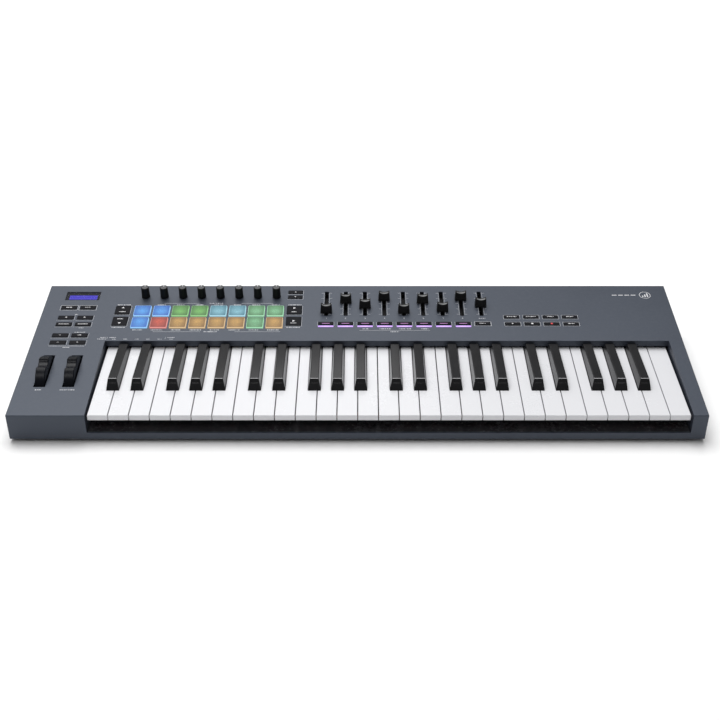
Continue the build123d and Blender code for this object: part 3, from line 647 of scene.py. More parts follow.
# The pale edge colour and the shoulder band paint highlight lines along the black keys' edges and their
# top-front shoulder.
BLACK = Moulded(
    "black_key_satin", (0.008, 0.008, 0.009), (0.013, 0.013, 0.0145), 0.26, 0.36, grain_scale=2200.0,
    cloud_scale=30.0, bump=0.10, worn=(0.85, 0.85, 0.87), wear_and_highlight=0.1, dust=0.0, specular=0.12,
    coat=0.45, coat_roughness=0.1, edge_radius=0.0008, polish=1.0,
)
WHEEL = Moulded(
    "wheel_soft_black", (0.0016, 0.002, 0.0038), (0.003, 0.004, 0.0075), 0.22, 0.32, grain_scale=1500.0,
    cloud_scale=30.0, worn=(0.04, 0.04, 0.05), wear_and_highlight=0.3, dust=0.0, specular=0.16,
)
BUTTON = Moulded(
    "button_silicone_black", (0.003, 0.0033, 0.005), (0.005, 0.0056, 0.009), 0.45, 0.58,
    grain_scale=1800.0, cloud_scale=40.0, bump=0.1, worn=(0.03, 0.03, 0.035), dust=0.005, specular=0.09,
)
KNOB = Moulded(
    "knob_soft_black", (0.003, 0.003, 0.0035), (0.005, 0.005, 0.006), 0.5, 0.65, grain_scale=1600.0,
    cloud_scale=60.0, bump=0.12, worn=(0.04, 0.04, 0.045), dust=0.03, specular=0.3,
)
KNOB_TOP = Moulded("knob_disc_grey", (0.034, 0.036, 0.040), (0.05, 0.052, 0.057), 0.3, 0.42, cloud_scale=80.0)
FADER = Moulded(
    "slider_black", (0.003, 0.003, 0.0035), (0.005, 0.005, 0.006), 0.4, 0.52, grain_scale=1600.0,
    cloud_scale=60.0, worn=(0.04, 0.04, 0.04), dust=0.03, specular=0.3,
)
FADER_SADDLE = Moulded(
    "slider_saddle_grey", (0.13, 0.135, 0.14), (0.19, 0.195, 0.2), 0.35, 0.45, cloud_scale=80.0,
)
# Legend colour, also used for the painted highlight strokes at the button holes.
PRINT_AND_HIGHLIGHT = Moulded("legend_print", (0.60, 0.61, 0.64), (0.67, 0.68, 0.71), 0.5, 0.6, cloud_scale=90.0, wear_and_highlight=0.0)
ICON = Moulded("icon_print_white", (0.7, 0.7, 0.72), (0.8, 0.8, 0.82), 0.5, 0.6, cloud_scale=90.0, wear_and_highlight=0.0)
POINTER = Moulded(
    "pointer_white", (0.75, 0.75, 0.76), (0.85, 0.85, 0.86), 0.4, 0.5, cloud_scale=90.0, wear_and_highlight=0.0,
)
INSIDE = Moulded(
    "inner_part_dark", (0.004, 0.004, 0.005), (0.007, 0.007, 0.008), 0.5, 0.6, wear_and_highlight=0.0, specular=0.15,
)
STEEL = Moulded(
    "plated_steel", (0.42, 0.42, 0.44), (0.55, 0.55, 0.57), 0.22, 0.38, grain_scale=700.0,
    cloud_scale=50.0, metallic=1.0, worn=(0.7, 0.7, 0.7),
)
BLACK_STEEL = Moulded(
    "black_zinc_screw", (0.05, 0.05, 0.052), (0.08, 0.08, 0.082), 0.35, 0.5,
    metallic=1.0, worn=(0.4, 0.4, 0.4),
)
LAMINATE = Moulded("board_green", (0.01, 0.06, 0.025), (0.015, 0.085, 0.035), 0.35, 0.5, coat=0.3)
SILICONE = Moulded("dome_grey", (0.22, 0.23, 0.25), (0.28, 0.29, 0.31), 0.55, 0.7)
FELT = Moulded("stop_felt_red", (0.12, 0.012, 0.014), (0.2, 0.02, 0.022), 0.85, 0.95, bump=0.6, sheen=0.5)
RIBBON = Moulded("ribbon_grey", (0.25, 0.25, 0.27), (0.32, 0.32, 0.34), 0.45, 0.6)
RECORD_LAMP = LitSilicone("record_lamp", (0.5, 0.02, 0.03), (0.9, 0.06, 0.06), (0.2, 0.01, 0.01), 0.9)
SLIDER_LAMP = LitSilicone(
    "slider_lamp", (0.34, 0.17, 0.62), (0.74, 0.54, 0.88), (0.3, 0.2, 0.45), 1.0, spread=0.5,
)
SLIDER_LABEL = LitSilicone(
    "slider_label_lamp", (0.30, 0.10, 0.34), (0.55, 0.25, 0.5), (0.1, 0.05, 0.1), 0.8,
)


class PadColour(Enum):
    """Lamp colours of the pads: side, middle and rim."""

    BLUE = ((0.006, 0.07, 0.38), (0.085, 0.37, 0.80), (0.30, 0.58, 0.92))
    GREEN = ((0.025, 0.11, 0.018), (0.17, 0.48, 0.11), (0.30, 0.62, 0.26))
    CYAN = ((0.025, 0.14, 0.20), (0.24, 0.51, 0.60), (0.40, 0.68, 0.78))
    MINT = ((0.03, 0.13, 0.04), (0.21, 0.51, 0.27), (0.36, 0.70, 0.44))
    RED = ((0.16, 0.01, 0.01), (0.62, 0.09, 0.045), (0.76, 0.30, 0.27))
    AMBER = ((0.14, 0.065, 0.012), (0.60, 0.35, 0.09), (0.70, 0.50, 0.28))


UPPER_COLOURS = (
    PadColour.BLUE, PadColour.BLUE, PadColour.GREEN, PadColour.GREEN,
    PadColour.CYAN, PadColour.CYAN, PadColour.MINT, PadColour.MINT,
)
LOWER_COLOURS = (
    PadColour.BLUE, PadColour.RED, PadColour.AMBER, PadColour.AMBER,
    PadColour.AMBER, PadColour.AMBER, PadColour.MINT, PadColour.AMBER,
)


class Finishes:
    """Builds each finish once."""

    def __init__(self) -> None:
        """Start with no materials built."""
        self.built: dict[str, bpy.types.Material] = {}

    def get(self, finish: Finish) -> bpy.types.Material:
        """Return the material of a finish."""
        if finish.name not in self.built:
            self.built[finish.name] = finish.build()
        return self.built[finish.name]


FINISHES = Finishes()


# ---------------------------------------------------------------- mesh helpers
def add_object(
    name: str, mesh: bpy.types.Mesh, finishes: Sequence[Finish], body: str,
) -> bpy.types.Object:
    """Link a mesh as a piece that rides on a body.

    Args:
        name: Name of the piece.
        mesh: Its mesh in metres.
        finishes: Finishes by material index.
        body: Name of the CAD body.

    Returns:
        The new object.
    """
    piece = bpy.data.objects.new(name, mesh)
    bpy.context.scene.collection.objects.link(piece)
    for finish in finishes:
        mesh.materials.append(FINISHES.get(finish))
    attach(piece, body)
    LOG.info("piece %s on %s: %d faces", name, body, len(mesh.polygons))
    return piece


def dress(node: str, finish: Finish) -> None:
    """Give a CAD node its finish."""
    mesh_object = frame["nodes"][node]
    material = FINISHES.get(finish)
    if not mesh_object.material_slots:
        mesh_object.data.materials.append(material)
    for slot in mesh_object.material_slots:
        slot.material = material
    LOG.info("dressed %s in %s", node, finish.name)


def soften(piece: bpy.types.Object, width_mm: float, segments: int = 3, angle: float = 35.0) -> None:
    """Round a piece's sharp edges.

    Args:
        piece: The object.
        width_mm: Width of the rounding.
        segments: Steps around it.
        angle: Smallest angle that counts as an edge, in degrees.
    """
    bevel = piece.modifiers.new("soft_edges", "BEVEL")
    bevel.width = width_mm * MM
    bevel.segments = segments
    bevel.limit_method = "ANGLE"
    bevel.angle_limit = math.radians(angle)
    bevel.harden_normals = False
    for polygon in piece.data.polygons:
        polygon.use_smooth = True
    normals = piece.modifiers.new("even_normals", "WEIGHTED_NORMAL")
    normals.keep_sharp = True


class Solid:
    """Collects closed shapes in panel millimetres and turns them into one mesh."""

    def __init__(self) -> None:
        """Start empty."""
        self.mesh = bmesh.new()

    def rings(self, rings: Sequence[Sequence[Point3]], material: Sequence[int] | int = 0) -> None:
        """Close a stack of equal rings with caps at both ends.

        Args:
            rings: Rings of points, all of one length, from the bottom up.
            material: Material index of each band, then of the top cap.
        """
        rows = [[self.mesh.verts.new(PANEL.point(*point)) for point in ring] for ring in rings]
        count = len(rows[0])
        indices = [material] * len(rows) if isinstance(material, int) else list(material)
        for level, (low, high) in enumerate(zip(rows[:-1], rows[1:])):
            for i in range(count):
                j = (i + 1) % count
                face = self.mesh.faces.new((low[i], low[j], high[j], high[i]))
                face.material_index = indices[level]
        self.mesh.faces.new(list(reversed(rows[0]))).material_index = indices[0]
        self.mesh.faces.new(rows[-1]).material_index = indices[-1]

    def prism(self, outline: Sequence[Point2], low: float, high: float) -> None:
        """Extrude an outline between two lifts."""
        self.rings([[(x, q, lift) for x, q in outline] for lift in (low, high)])

    def box(self, x: float, q: float, width: float, height: float, low: float, high: float) -> None:
        """Add an upright box."""
        self.prism(rectangle(x, q, width, height), low, high)

    def finish(self, name: str) -> bpy.types.Mesh:
        """Write the mesh with outward faces."""
        bmesh.ops.recalc_face_normals(self.mesh, faces=self.mesh.faces)
        mesh = bpy.data.meshes.new(name)
        self.mesh.to_mesh(mesh)
        self.mesh.free()
        return mesh


def rectangle(x: float, q: float, width: float, height: float) -> list[Point2]:
    """Corners of a rectangle about its middle."""
    a, b = width / 2, height / 2
    return [(x - a, q - b), (x + a, q - b), (x + a, q + b), (x - a, q + b)]


def rounded(x: float, q: float, width: float, height: float, radius: float, steps: int = 5) -> list[Point2]:
    """Outline of a rectangle with round corners.

    Args:
        x: Middle across the panel.
        q: Middle up the slope.
        width: Size across.
        height: Size up the slope.
        radius: Corner radius.
        steps: Points per corner, less one.

    Returns:
        The outline, counter-clockwise.
    """
    a, b = width / 2 - radius, height / 2 - radius
    outline = []
    for cx, cq, start in ((a, b, 0), (-a, b, 90), (-a, -b, 180), (a, -b, 270)):
        for step in range(steps + 1):
            turn = math.radians(start + 90 * step / steps)
            outline.append((x + cx + radius * math.cos(turn), q + cq + radius * math.sin(turn)))
    return outline


def circle(x: float, q: float, radius: float, count: int = 40) -> list[Point2]:
    """Outline of a circle."""
    turns = [2 * math.pi * i / count for i in range(count)]
    return [(x + radius * math.cos(t), q + radius * math.sin(t)) for t in turns]


@dataclass
class Print:
    """Thin printed marks on one body, gathered into one piece."""

    name: str
    body: str
    finish: Finish
    slot: Slot
    lift: float = 0.0
    thickness: float = 0.05
    sink: float = 0.05
    stroke_lengths: Point3 = (0.7, 1.1, 1.6)
    stroke_heights: Point3 = (0.7, 1.0, 1.0)
    stroke_gaps: Point3 = (0.3, 0.3, 0.8)
    digit_line: float = 0.16
    digit_width: float = 0.5
    solid: Solid = field(default_factory=Solid)

    def shape(self, outline: Sequence[Point2]) -> None:
        """Print a filled outline."""
        self.solid.prism(outline, self.lift - self.sink, self.lift + self.thickness)

    def bar(self, x: float, q: float, width: float, height: float) -> None:
        """Print a bar."""
        self.shape(rectangle(x, q, width, height))

    def arrow(
        self, x: float, q: float, tip: float, tail: float, half: float, sideways: bool = False,
    ) -> None:
        """Print a triangle that points up the slope, or along the keys.

        Args:
            x: Middle across the panel.
            q: Middle up the slope.
            tip: Distance from the middle to the tip, negative to point the other way.
            tail: Distance from the middle back to the base.
            half: Half the width of the base.
            sideways: Whether it points along the keys.
        """
        corners = ((tip, 0.0), (-tail, -half), (-tail, half))
        self.shape([(x + a, q + b) if sideways else (x + b, q + a) for a, b in corners])

    def outline(self, cap: Cap, gap: float, line: float, sides: Iterable[Side]) -> None:
        """Print chosen sides of a frame around a cap.

        Args:
            cap: What the frame goes around.
            gap: Space between the cap and the line.
            line: Width of the line.
            sides: Sides to print.
        """
        a = cap.width / 2 + gap + line / 2
        b = cap.height / 2 + gap + line / 2
        strokes = {
            Side.NEAR: (cap.x, cap.q - b, 2 * a + line, line),
            Side.FAR: (cap.x, cap.q + b, 2 * a + line, line),
            Side.LEFT: (cap.x - a, cap.q, line, 2 * b - line),
            Side.RIGHT: (cap.x + a, cap.q, line, 2 * b - line),
        }
        for side in sides:
            self.bar(*strokes[side])

    def label(self, x: float, q: float, width: float, height: float, seed: int) -> None:
        """Print a wordless label: a row of short strokes of uneven length.

        Args:
            x: Middle across the panel.
            q: Middle up the slope.
            width: Whole width.
            height: Height of the strokes.
            seed: Makes each label's strokes its own.
        """
        draw = random.Random(seed)
        left = x - width / 2
        right = x + width / 2
        while left < right - self.stroke_gaps[0]:
            stroke = min(draw.choice(self.stroke_lengths), right - left)
            self.bar(left + stroke / 2, q, stroke, height * draw.choice(self.stroke_heights))
            left += stroke + draw.choice(self.stroke_gaps)

    def numeral(self, digit: int, x: float, q: float, height: float) -> None:
        """Print a digit in straight strokes.

        Args:
            digit: The digit, 0 to 9.
            x: Middle across the panel.
            q: Middle up the slope.
            height: Height of the digit.
        """
        half, line, wide = height / 2, height * self.digit_line, height * self.digit_width
        strokes = {
            "a": (x, q + half, wide, line), "g": (x, q, wide, line), "d": (x, q - half, wide, line),
            "f": (x - wide / 2, q + half / 2, line, half), "b": (x + wide / 2, q + half / 2, line, half),
            "e": (x - wide / 2, q - half / 2, line, half), "c": (x + wide / 2, q - half / 2, line, half),
        }
        lit = ("abcdef", "bc", "abged", "abgcd", "fgbc", "afgcd", "afgedc", "abc", "abcdefg", "abcdfg")
        for key in lit[digit]:
            self.bar(*strokes[key])

    def build(self) -> bpy.types.Object:
        """Make the piece."""
        mesh = self.solid.finish(self.name)
        return add_object(self.name, mesh, [self.finish], self.body)


# ---------------------------------------------------------------- sub-assemblies
@dataclass
class Housing:
    """Top shell, base, feet and screws."""

    finishes: dict[str, Finish] = field(default_factory=lambda: {
        "top_case": CASE, "bottom_case": BASE, "rubber_feet": FEET, "case_screws": BLACK_STEEL,
    })

    def build(self) -> None:
        """Dress the CAD nodes."""
        for node, finish in self.finishes.items():
            dress(node, finish)


@dataclass
class Inside:
    """Parts under the panel and the keys."""

    finishes: dict[str, Finish] = field(default_factory=lambda: {
        "keybed_chassis": KEYBED, "key_pivot_rod": STEEL, "key_stop_felts": FELT,
        "key_contact_board": LAMINATE, "key_contact_domes": SILICONE, "key_springs": STEEL,
        "display_module": INSIDE, "main_board": LAMINATE, "control_board": LAMINATE,
        "knob_pots": STEEL, "fader_pots": INSIDE, "wheel_bracket": INSIDE,
        "pitch_wheel_spring": STEEL, "usb_socket": STEEL, "midi_out_socket": INSIDE,
        "sustain_jack": INSIDE, "ribbon_cable": RIBBON,
    })

    def build(self) -> None:
        """Dress the CAD nodes."""
        for node, finish in self.finishes.items():
            dress(node, finish)


@dataclass
class Keys:
    """White and black keys."""

    def build(self) -> None:
        """Dress every key group."""
        for node in sorted(frame["nodes"]):
            if node.startswith("white_key"):
                dress(node, WHITE)
            elif node.startswith("black_key"):
                dress(node, BLACK)


@dataclass
class Wheels:
    """Pitch and modulation wheels with ribbed finger grooves."""

    def build(self) -> None:
        """Dress the wheels."""
        for node in ("pitch_wheel", "mod_wheel"):
            dress(node, WHEEL)


@dataclass
class Display:
    """Window, dark surround and the blue glass under it."""

    glass_size: Point2 = (35.4, 9.0)
    glass_shift: float = 0.1
    glass_lift: float = -2.55
    glass_depth: float = 0.1

    def build(self) -> None:
        """Dress the window and lay the glowing glass on the module."""
        dress("display_window", SmokedWindow())
        middle = islands("display_window")[0]
        solid = Solid()
        top = self.glass_lift
        solid.box(middle.x, middle.q + self.glass_shift, *self.glass_size, top - self.glass_depth, top)
        mesh = solid.finish("display_glass")
        add_object("display_glass", mesh, [CrystalDisplay()], "root")


@dataclass
class Pads:
    """Sixteen lit pads in two rows."""

    corner: float = 1.7
    least_corner: float = 0.35
    depth: float = 3.8
    edge: tuple[Point2, ...] = ((0.0, 0.45), (0.14, 0.15), (0.42, 0.0))
    rim: float = 0.6
    dish: tuple[Point2, ...] = ((0.3, 0.35), (3.0, 0.22), (6.0, 0.18))

    def pad(self, name: str, body: str, cap: Cap, colour: PadColour) -> bpy.types.Object:
        """Build one pad: a skirt, a rounded edge, a bright rim and a shallow dish.

        Args:
            name: Name of the piece.
            body: Body of its row.
            cap: Its place and size.
            colour: Its lamp colour.

        Returns:
            The pad's object.
        """
        side, middle, rim = colour.value
        levels = [(0.0, -self.depth)]
        levels += [(inset, cap.top - drop) for inset, drop in self.edge]
        levels += [(self.rim, cap.top)]
        levels += [(self.rim + inset, cap.top - drop) for inset, drop in self.dish]
        rings = []
        for inset, lift in levels:
            radius = max(self.corner - inset, self.least_corner)
            outline = rounded(cap.x, cap.q, cap.width - 2 * inset, cap.height - 2 * inset, radius)
            rings.append([(x, q, lift) for x, q in outline])
        outer = 1 + len(self.edge)
        solid = Solid()
        solid.rings(rings, [0] * outer + [1] * (len(levels) - outer))
        key = colour.name.lower()
        skin = LitSilicone("pad_rim_" + key, rim, rim, tuple(0.15 * c for c in rim))
        face = LitSilicone("pad_face_" + key, side, middle, tuple(0.1 * c for c in middle))
        piece = add_object(name, solid.finish(name), [skin, face], body)
        for polygon in piece.data.polygons:
            polygon.use_smooth = True
        piece.modifiers.new("even_normals", "WEIGHTED_NORMAL")
        return piece

    def build(self) -> None:
        """Build both rows in place of their CAD nodes."""
        for node, colours in (("pads_upper_row", UPPER_COLOURS), ("pads_lower_row", LOWER_COLOURS)):
            for number, (cap, colour) in enumerate(zip(islands(node), colours), start=1):
                piece = self.pad(f"{node}_pad_{number}", node, cap, colour)
                if number == 1:
                    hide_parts(node)


@dataclass
class Knobs:
    """Eight rotary knobs with grey discs and white pointers."""

    count: int = 8
    radius: float = 5.35
    top_radius: float = 4.9
    height: float = 15.0
    flutes: int = 24
    steps_per_flute: int = 4
    flute_depth: float = 0.13
    shaft_radius: float = 3.0
    shaft_ends: Point2 = (-9.4, 0.6)
    disc_inset: float = 1.05
    disc_ends: Point2 = (14.6, 14.83)
    pointer_place: float = 3.0
    pointer_size: Point2 = (0.8, 2.8)
    pointer_lift: float = 14.85
    pointer_thickness: float = 0.22
    # Lift, inset from the taper and share of the flute depth, from the foot up
    profile: tuple[Point3, ...] = (
        (0.5, 0.25, 0.0), (0.75, 0.0, 0.0), (1.8, 0.0, 0.0), (2.2, 0.1, 1.0), (12.6, 0.1, 1.0),
        (13.2, 0.05, 0.0), (14.4, 0.05, 0.0), (14.85, 0.3, 0.0), (15.0, 0.65, 0.0), (14.75, 0.85, 0.0),
    )

    def ring(self, x: float, q: float, radius: float, lift: float, fluted: float) -> list[Point3]:
        """One ring of the knob's side.

        Args:
            x: Knob's middle across.
            q: Knob's middle up the slope.
            radius: Ring radius.
            lift: Ring height.
            fluted: Share of the flute depth at this ring.

        Returns:
            The ring's points.
        """
        count = self.flutes * self.steps_per_flute
        points = []
        for i in range(count):
            turn = 2 * math.pi * i / count
            wave = 0.5 - 0.5 * math.cos(self.flutes * turn)
            reach = radius - self.flute_depth * fluted * wave
            points.append((x + reach * math.cos(turn), q + reach * math.sin(turn), lift))
        return points

    def knob(self, node: str) -> None:
        """Build one knob in place of its CAD node."""
        cap = islands(node)[0]
        taper = (self.radius - self.top_radius) / self.height
        solid = Solid()
        solid.rings([
            self.ring(cap.x, cap.q, self.radius - taper * lift - inset, lift, fluted)
            for lift, inset, fluted in self.profile
        ])
        solid.prism(circle(cap.x, cap.q, self.shaft_radius), *self.shaft_ends)
        piece = add_object(node + "_cap", solid.finish(node + "_cap"), [KNOB], node)
        for polygon in piece.data.polygons:
            polygon.use_smooth = len(polygon.vertices) == 4
        piece.modifiers.new("even_normals", "WEIGHTED_NORMAL")
        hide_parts(node)
        disc = Solid()
        disc.prism(circle(cap.x, cap.q, self.top_radius - self.disc_inset, 48), *self.disc_ends)
        add_object(node + "_disc", disc.finish(node + "_disc"), [KNOB_TOP], node)
        mark = Print(
            node + "_pointer", node, POINTER, Slot.KNOB,
            lift=self.pointer_lift, thickness=self.pointer_thickness,
        )
        mark.bar(cap.x, cap.q + self.pointer_place, *self.pointer_size)
        mark.build()

    def build(self) -> None:
        """Build all the knobs."""
        for number in range(1, self.count + 1):
            self.knob(f"knob_{number}")


@dataclass
class Faders:
    """Nine sliders with saddle-shaped caps."""

    count: int = 9
    base: Point2 = (14.6, 9.4)
    top: Point2 = (13.0, 5.2)
    height: float = 12.5
    foot: float = 1.0
    dip: float = 2.4
    dip_power: float = 2.2
    steps: int = 20
    lever_size: Point2 = (3.4, 1.4)
    lever_depth: float = 7.8
    lever_bite: float = 0.3
    saddle_share: float = 0.8
    saddle_edges: Point2 = (-2.1, 0.2)
    saddle_sink: float = 0.3
    saddle_rise: float = 0.12

    def crest(self, share: float) -> float:
        """Lift of the cap's top at a share of its width, -1 to 1."""
        return self.height - self.dip * (1 - abs(share) ** self.dip_power)

    def cap_section(self, x: float, q: float, share: float) -> list[Point3]:
        """One cross-section of the cap at a share of its width."""
        low_x, high_x = x + share * self.base[0] / 2, x + share * self.top[0] / 2
        low_q, high_q, crest = self.base[1] / 2, self.top[1] / 2, self.crest(share)
        return [
            (low_x, q - low_q, self.foot), (high_x, q - high_q, crest),
            (high_x, q + high_q, crest), (low_x, q + low_q, self.foot),
        ]

    def saddle_section(self, x: float, q: float, share: float) -> list[Point3]:
        """One cross-section of the grey insert at a share of the cap's width."""
        edge, crest = x + share * self.top[0] / 2, self.crest(share)
        near, far = q + self.saddle_edges[0], q + self.saddle_edges[1]
        low, high = crest - self.saddle_sink, crest + self.saddle_rise
        return [(edge, near, low), (edge, far, low), (edge, far, high), (edge, near, high)]

    def slider(self, node: str) -> None:
        """Build one slider in place of its CAD node."""
        spot = islands(node, 30.0)[0]
        shares = [2 * i / self.steps - 1 for i in range(self.steps + 1)]
        solid = Solid()
        solid.rings([self.cap_section(spot.x, spot.q, share) for share in shares])
        solid.box(spot.x, spot.q, *self.lever_size, -self.lever_depth, self.foot + self.lever_bite)
        piece = add_object(node + "_cap", solid.finish(node + "_cap"), [FADER], node)
        soften(piece, 0.45, 3, 40)
        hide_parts(node)
        saddle = Solid()
        saddle.rings([
            self.saddle_section(spot.x, spot.q, self.saddle_share * share) for share in shares
        ])
        name = node + "_saddle"
        insert = add_object(name, saddle.finish(name), [FADER_SADDLE], node)
        soften(insert, 0.08, 2, 40)

    def build(self) -> None:
        """Build all the sliders."""
        for number in range(1, self.count + 1):
            self.slider(f"fader_{number}")


@dataclass
class Buttons:
    """Silicone buttons, their printed frames and painted edge highlights, icons and lamps."""

    icon_lift: float = 0.9
    label_height: float = 1.4
    gap: float = 0.8
    wide_gap: float = 1.1
    line: float = 0.35
    bold_line: float = 0.45
    square_height: float = 10.0
    page_middle: float = 232.0
    square_middle: float = 187.0
    left_squares_end: float = -200.0
    lamp_drop: float = 5.3
    lamp_depth: float = 2.9
    lamp_corner: float = 0.7
    lamp_extra: float = 0.9
    lamp_ends: Point2 = (-0.3, 0.35)

    def icons(self, name: str, body: str, finish: Finish) -> Print:
        """Start a piece of marks that lie on a button block."""
        return Print(name, body, finish, Slot.BUTTON, lift=self.icon_lift)

    def build(self) -> None:
        """Dress the caps, then add frames and painted edge highlights, icons and lamps."""
        for node in ("left_buttons", "navigation_buttons", "fader_buttons", "transport_buttons"):
            dress(node, BUTTON)
        self.frames_and_highlights()
        self.left_icons()
        self.navigation_icons()
        self.transport_icons()
        self.lamps()

    def frames_and_highlights(self) -> None:
        """Print thin frames around some buttons, and paint highlights on the hole edges of the others as pale
        near and right strokes.
        """
        frames_and_highlights = Print("button_frames_and_highlights", "root", PRINT_AND_HIGHLIGHT, Slot.CASE)
        # The near and right strokes are painted highlights: pale lines in the legend colour for the hole
        # edges that catch the light.
        corner = [Side.NEAR, Side.RIGHT]
        left = islands("left_buttons")
        for cap in left[:-2]:
            frames_and_highlights.outline(cap, self.wide_gap, self.line, corner)
        for cap in left[-2:]:
            frames_and_highlights.outline(cap, self.wide_gap, self.bold_line, list(Side))
        blocks = (
            ("navigation_buttons", corner), ("transport_buttons", list(Side)),
            ("fader_buttons", [Side.LEFT, Side.RIGHT]),
        )
        for node, sides in blocks:
            for cap in islands(node):
                frames_and_highlights.outline(cap, self.gap, self.line, sides)
        frames_and_highlights.build()

    def left_icons(self) -> None:
        """Print marks on the ten buttons beside the display."""
        icons = self.icons("left_button_icons", "left_buttons", ICON)
        label_widths = {1: 4.0, 2: 12.0, 4: 7.0}
        size = 1.3
        for number, cap in enumerate(islands("left_buttons")):
            row, column = divmod(number, 2)
            if row == 0:
                icons.bar(cap.x, cap.q, 2.6, 0.5)
                if column == 1:
                    icons.bar(cap.x, cap.q, 0.5, 2.4)
            elif row == 1 and column == 0:
                icons.bar(cap.x, cap.q, 2.2, 0.6)
            elif row == 3:
                reach = (2 * column - 1) * size
                icons.arrow(cap.x, cap.q, reach, reach, size, sideways=True)
            else:
                icons.label(cap.x, cap.q, label_widths[row], 1.5, 40 + number)
        icons.build()

    def navigation_icons(self) -> None:
        """Print arrows on the square buttons beside the pads and on the page buttons."""
        icons = self.icons("navigation_icons", "navigation_buttons", ICON)
        for number, cap in enumerate(islands("navigation_buttons")):
            if cap.height < self.square_height:
                sign = 1 if cap.q > self.page_middle else -1
                icons.arrow(cap.x, cap.q, sign * 1.0, sign * 1.0, 1.2)
            elif cap.x < self.left_squares_end:
                sign = 1 if cap.q > self.square_middle else -1
                icons.arrow(cap.x, cap.q + sign * 4.4, sign * 1.7, sign * 1.2, 1.8)
                icons.label(cap.x, cap.q - sign * 4.2, 8.0, 1.6, 70 + number)
            else:
                rise = 3.6 if cap.q > self.square_middle else 0.0
                icons.arrow(cap.x, cap.q + rise, 2.0, 1.4, 1.9, sideways=True)
                icons.label(cap.x, cap.q - 4.4, 7.0, self.label_height, 75 + number)
        icons.build()

    def transport_icons(self) -> None:
        """Print play, stop and record marks and plain labels."""
        icons = self.icons("transport_icons", "transport_buttons", ICON)
        caps = islands("transport_buttons")
        play, stop, record, loop = caps[:4]
        icons.arrow(play.x, play.q, 1.3, 1.0, 1.3, sideways=True)
        icons.bar(stop.x, stop.q, 2.5, 2.5)
        icons.label(loop.x, loop.q, 8.0, self.label_height, 91)
        for number, (cap, width) in enumerate(zip(caps[4:], (12.0, 12.5, 8.0, 9.0))):
            icons.label(cap.x, cap.q, width, self.label_height, 95 + number)
        icons.build()
        dot = self.icons("record_mark", "transport_buttons", RECORD_LAMP)
        dot.shape(circle(record.x, record.q, 1.4, 24))
        dot.build()

    def lamps(self) -> None:
        """Set light strips in front of the first eight slider buttons and mark the ninth."""
        *lit, plain = islands("fader_buttons")
        for number, cap in enumerate(lit, start=1):
            name = f"slider_lamp_{number}"
            width = cap.width + self.lamp_extra
            strip = rounded(cap.x, cap.q - self.lamp_drop, width, self.lamp_depth, self.lamp_corner)
            solid = Solid()
            solid.prism(strip, *self.lamp_ends)
            piece = add_object(name, solid.finish(name), [SLIDER_LAMP], "root")
            soften(piece, 0.15, 2)
            label = self.icons(f"slider_label_{number}", "fader_buttons", SLIDER_LABEL)
            label.bar(cap.x, cap.q - 0.3, 9.5, 1.2)
            label.build()
        marks = Print("last_button_marks", "root", PRINT_AND_HIGHLIGHT, Slot.CASE)
        marks.outline(plain, 1.0, 0.4, list(Side))
        marks.build()
        icons = self.icons("last_button_label", "fader_buttons", ICON)
        icons.label(plain.x, plain.q, 8.0, self.label_height, 60)
        icons.build()


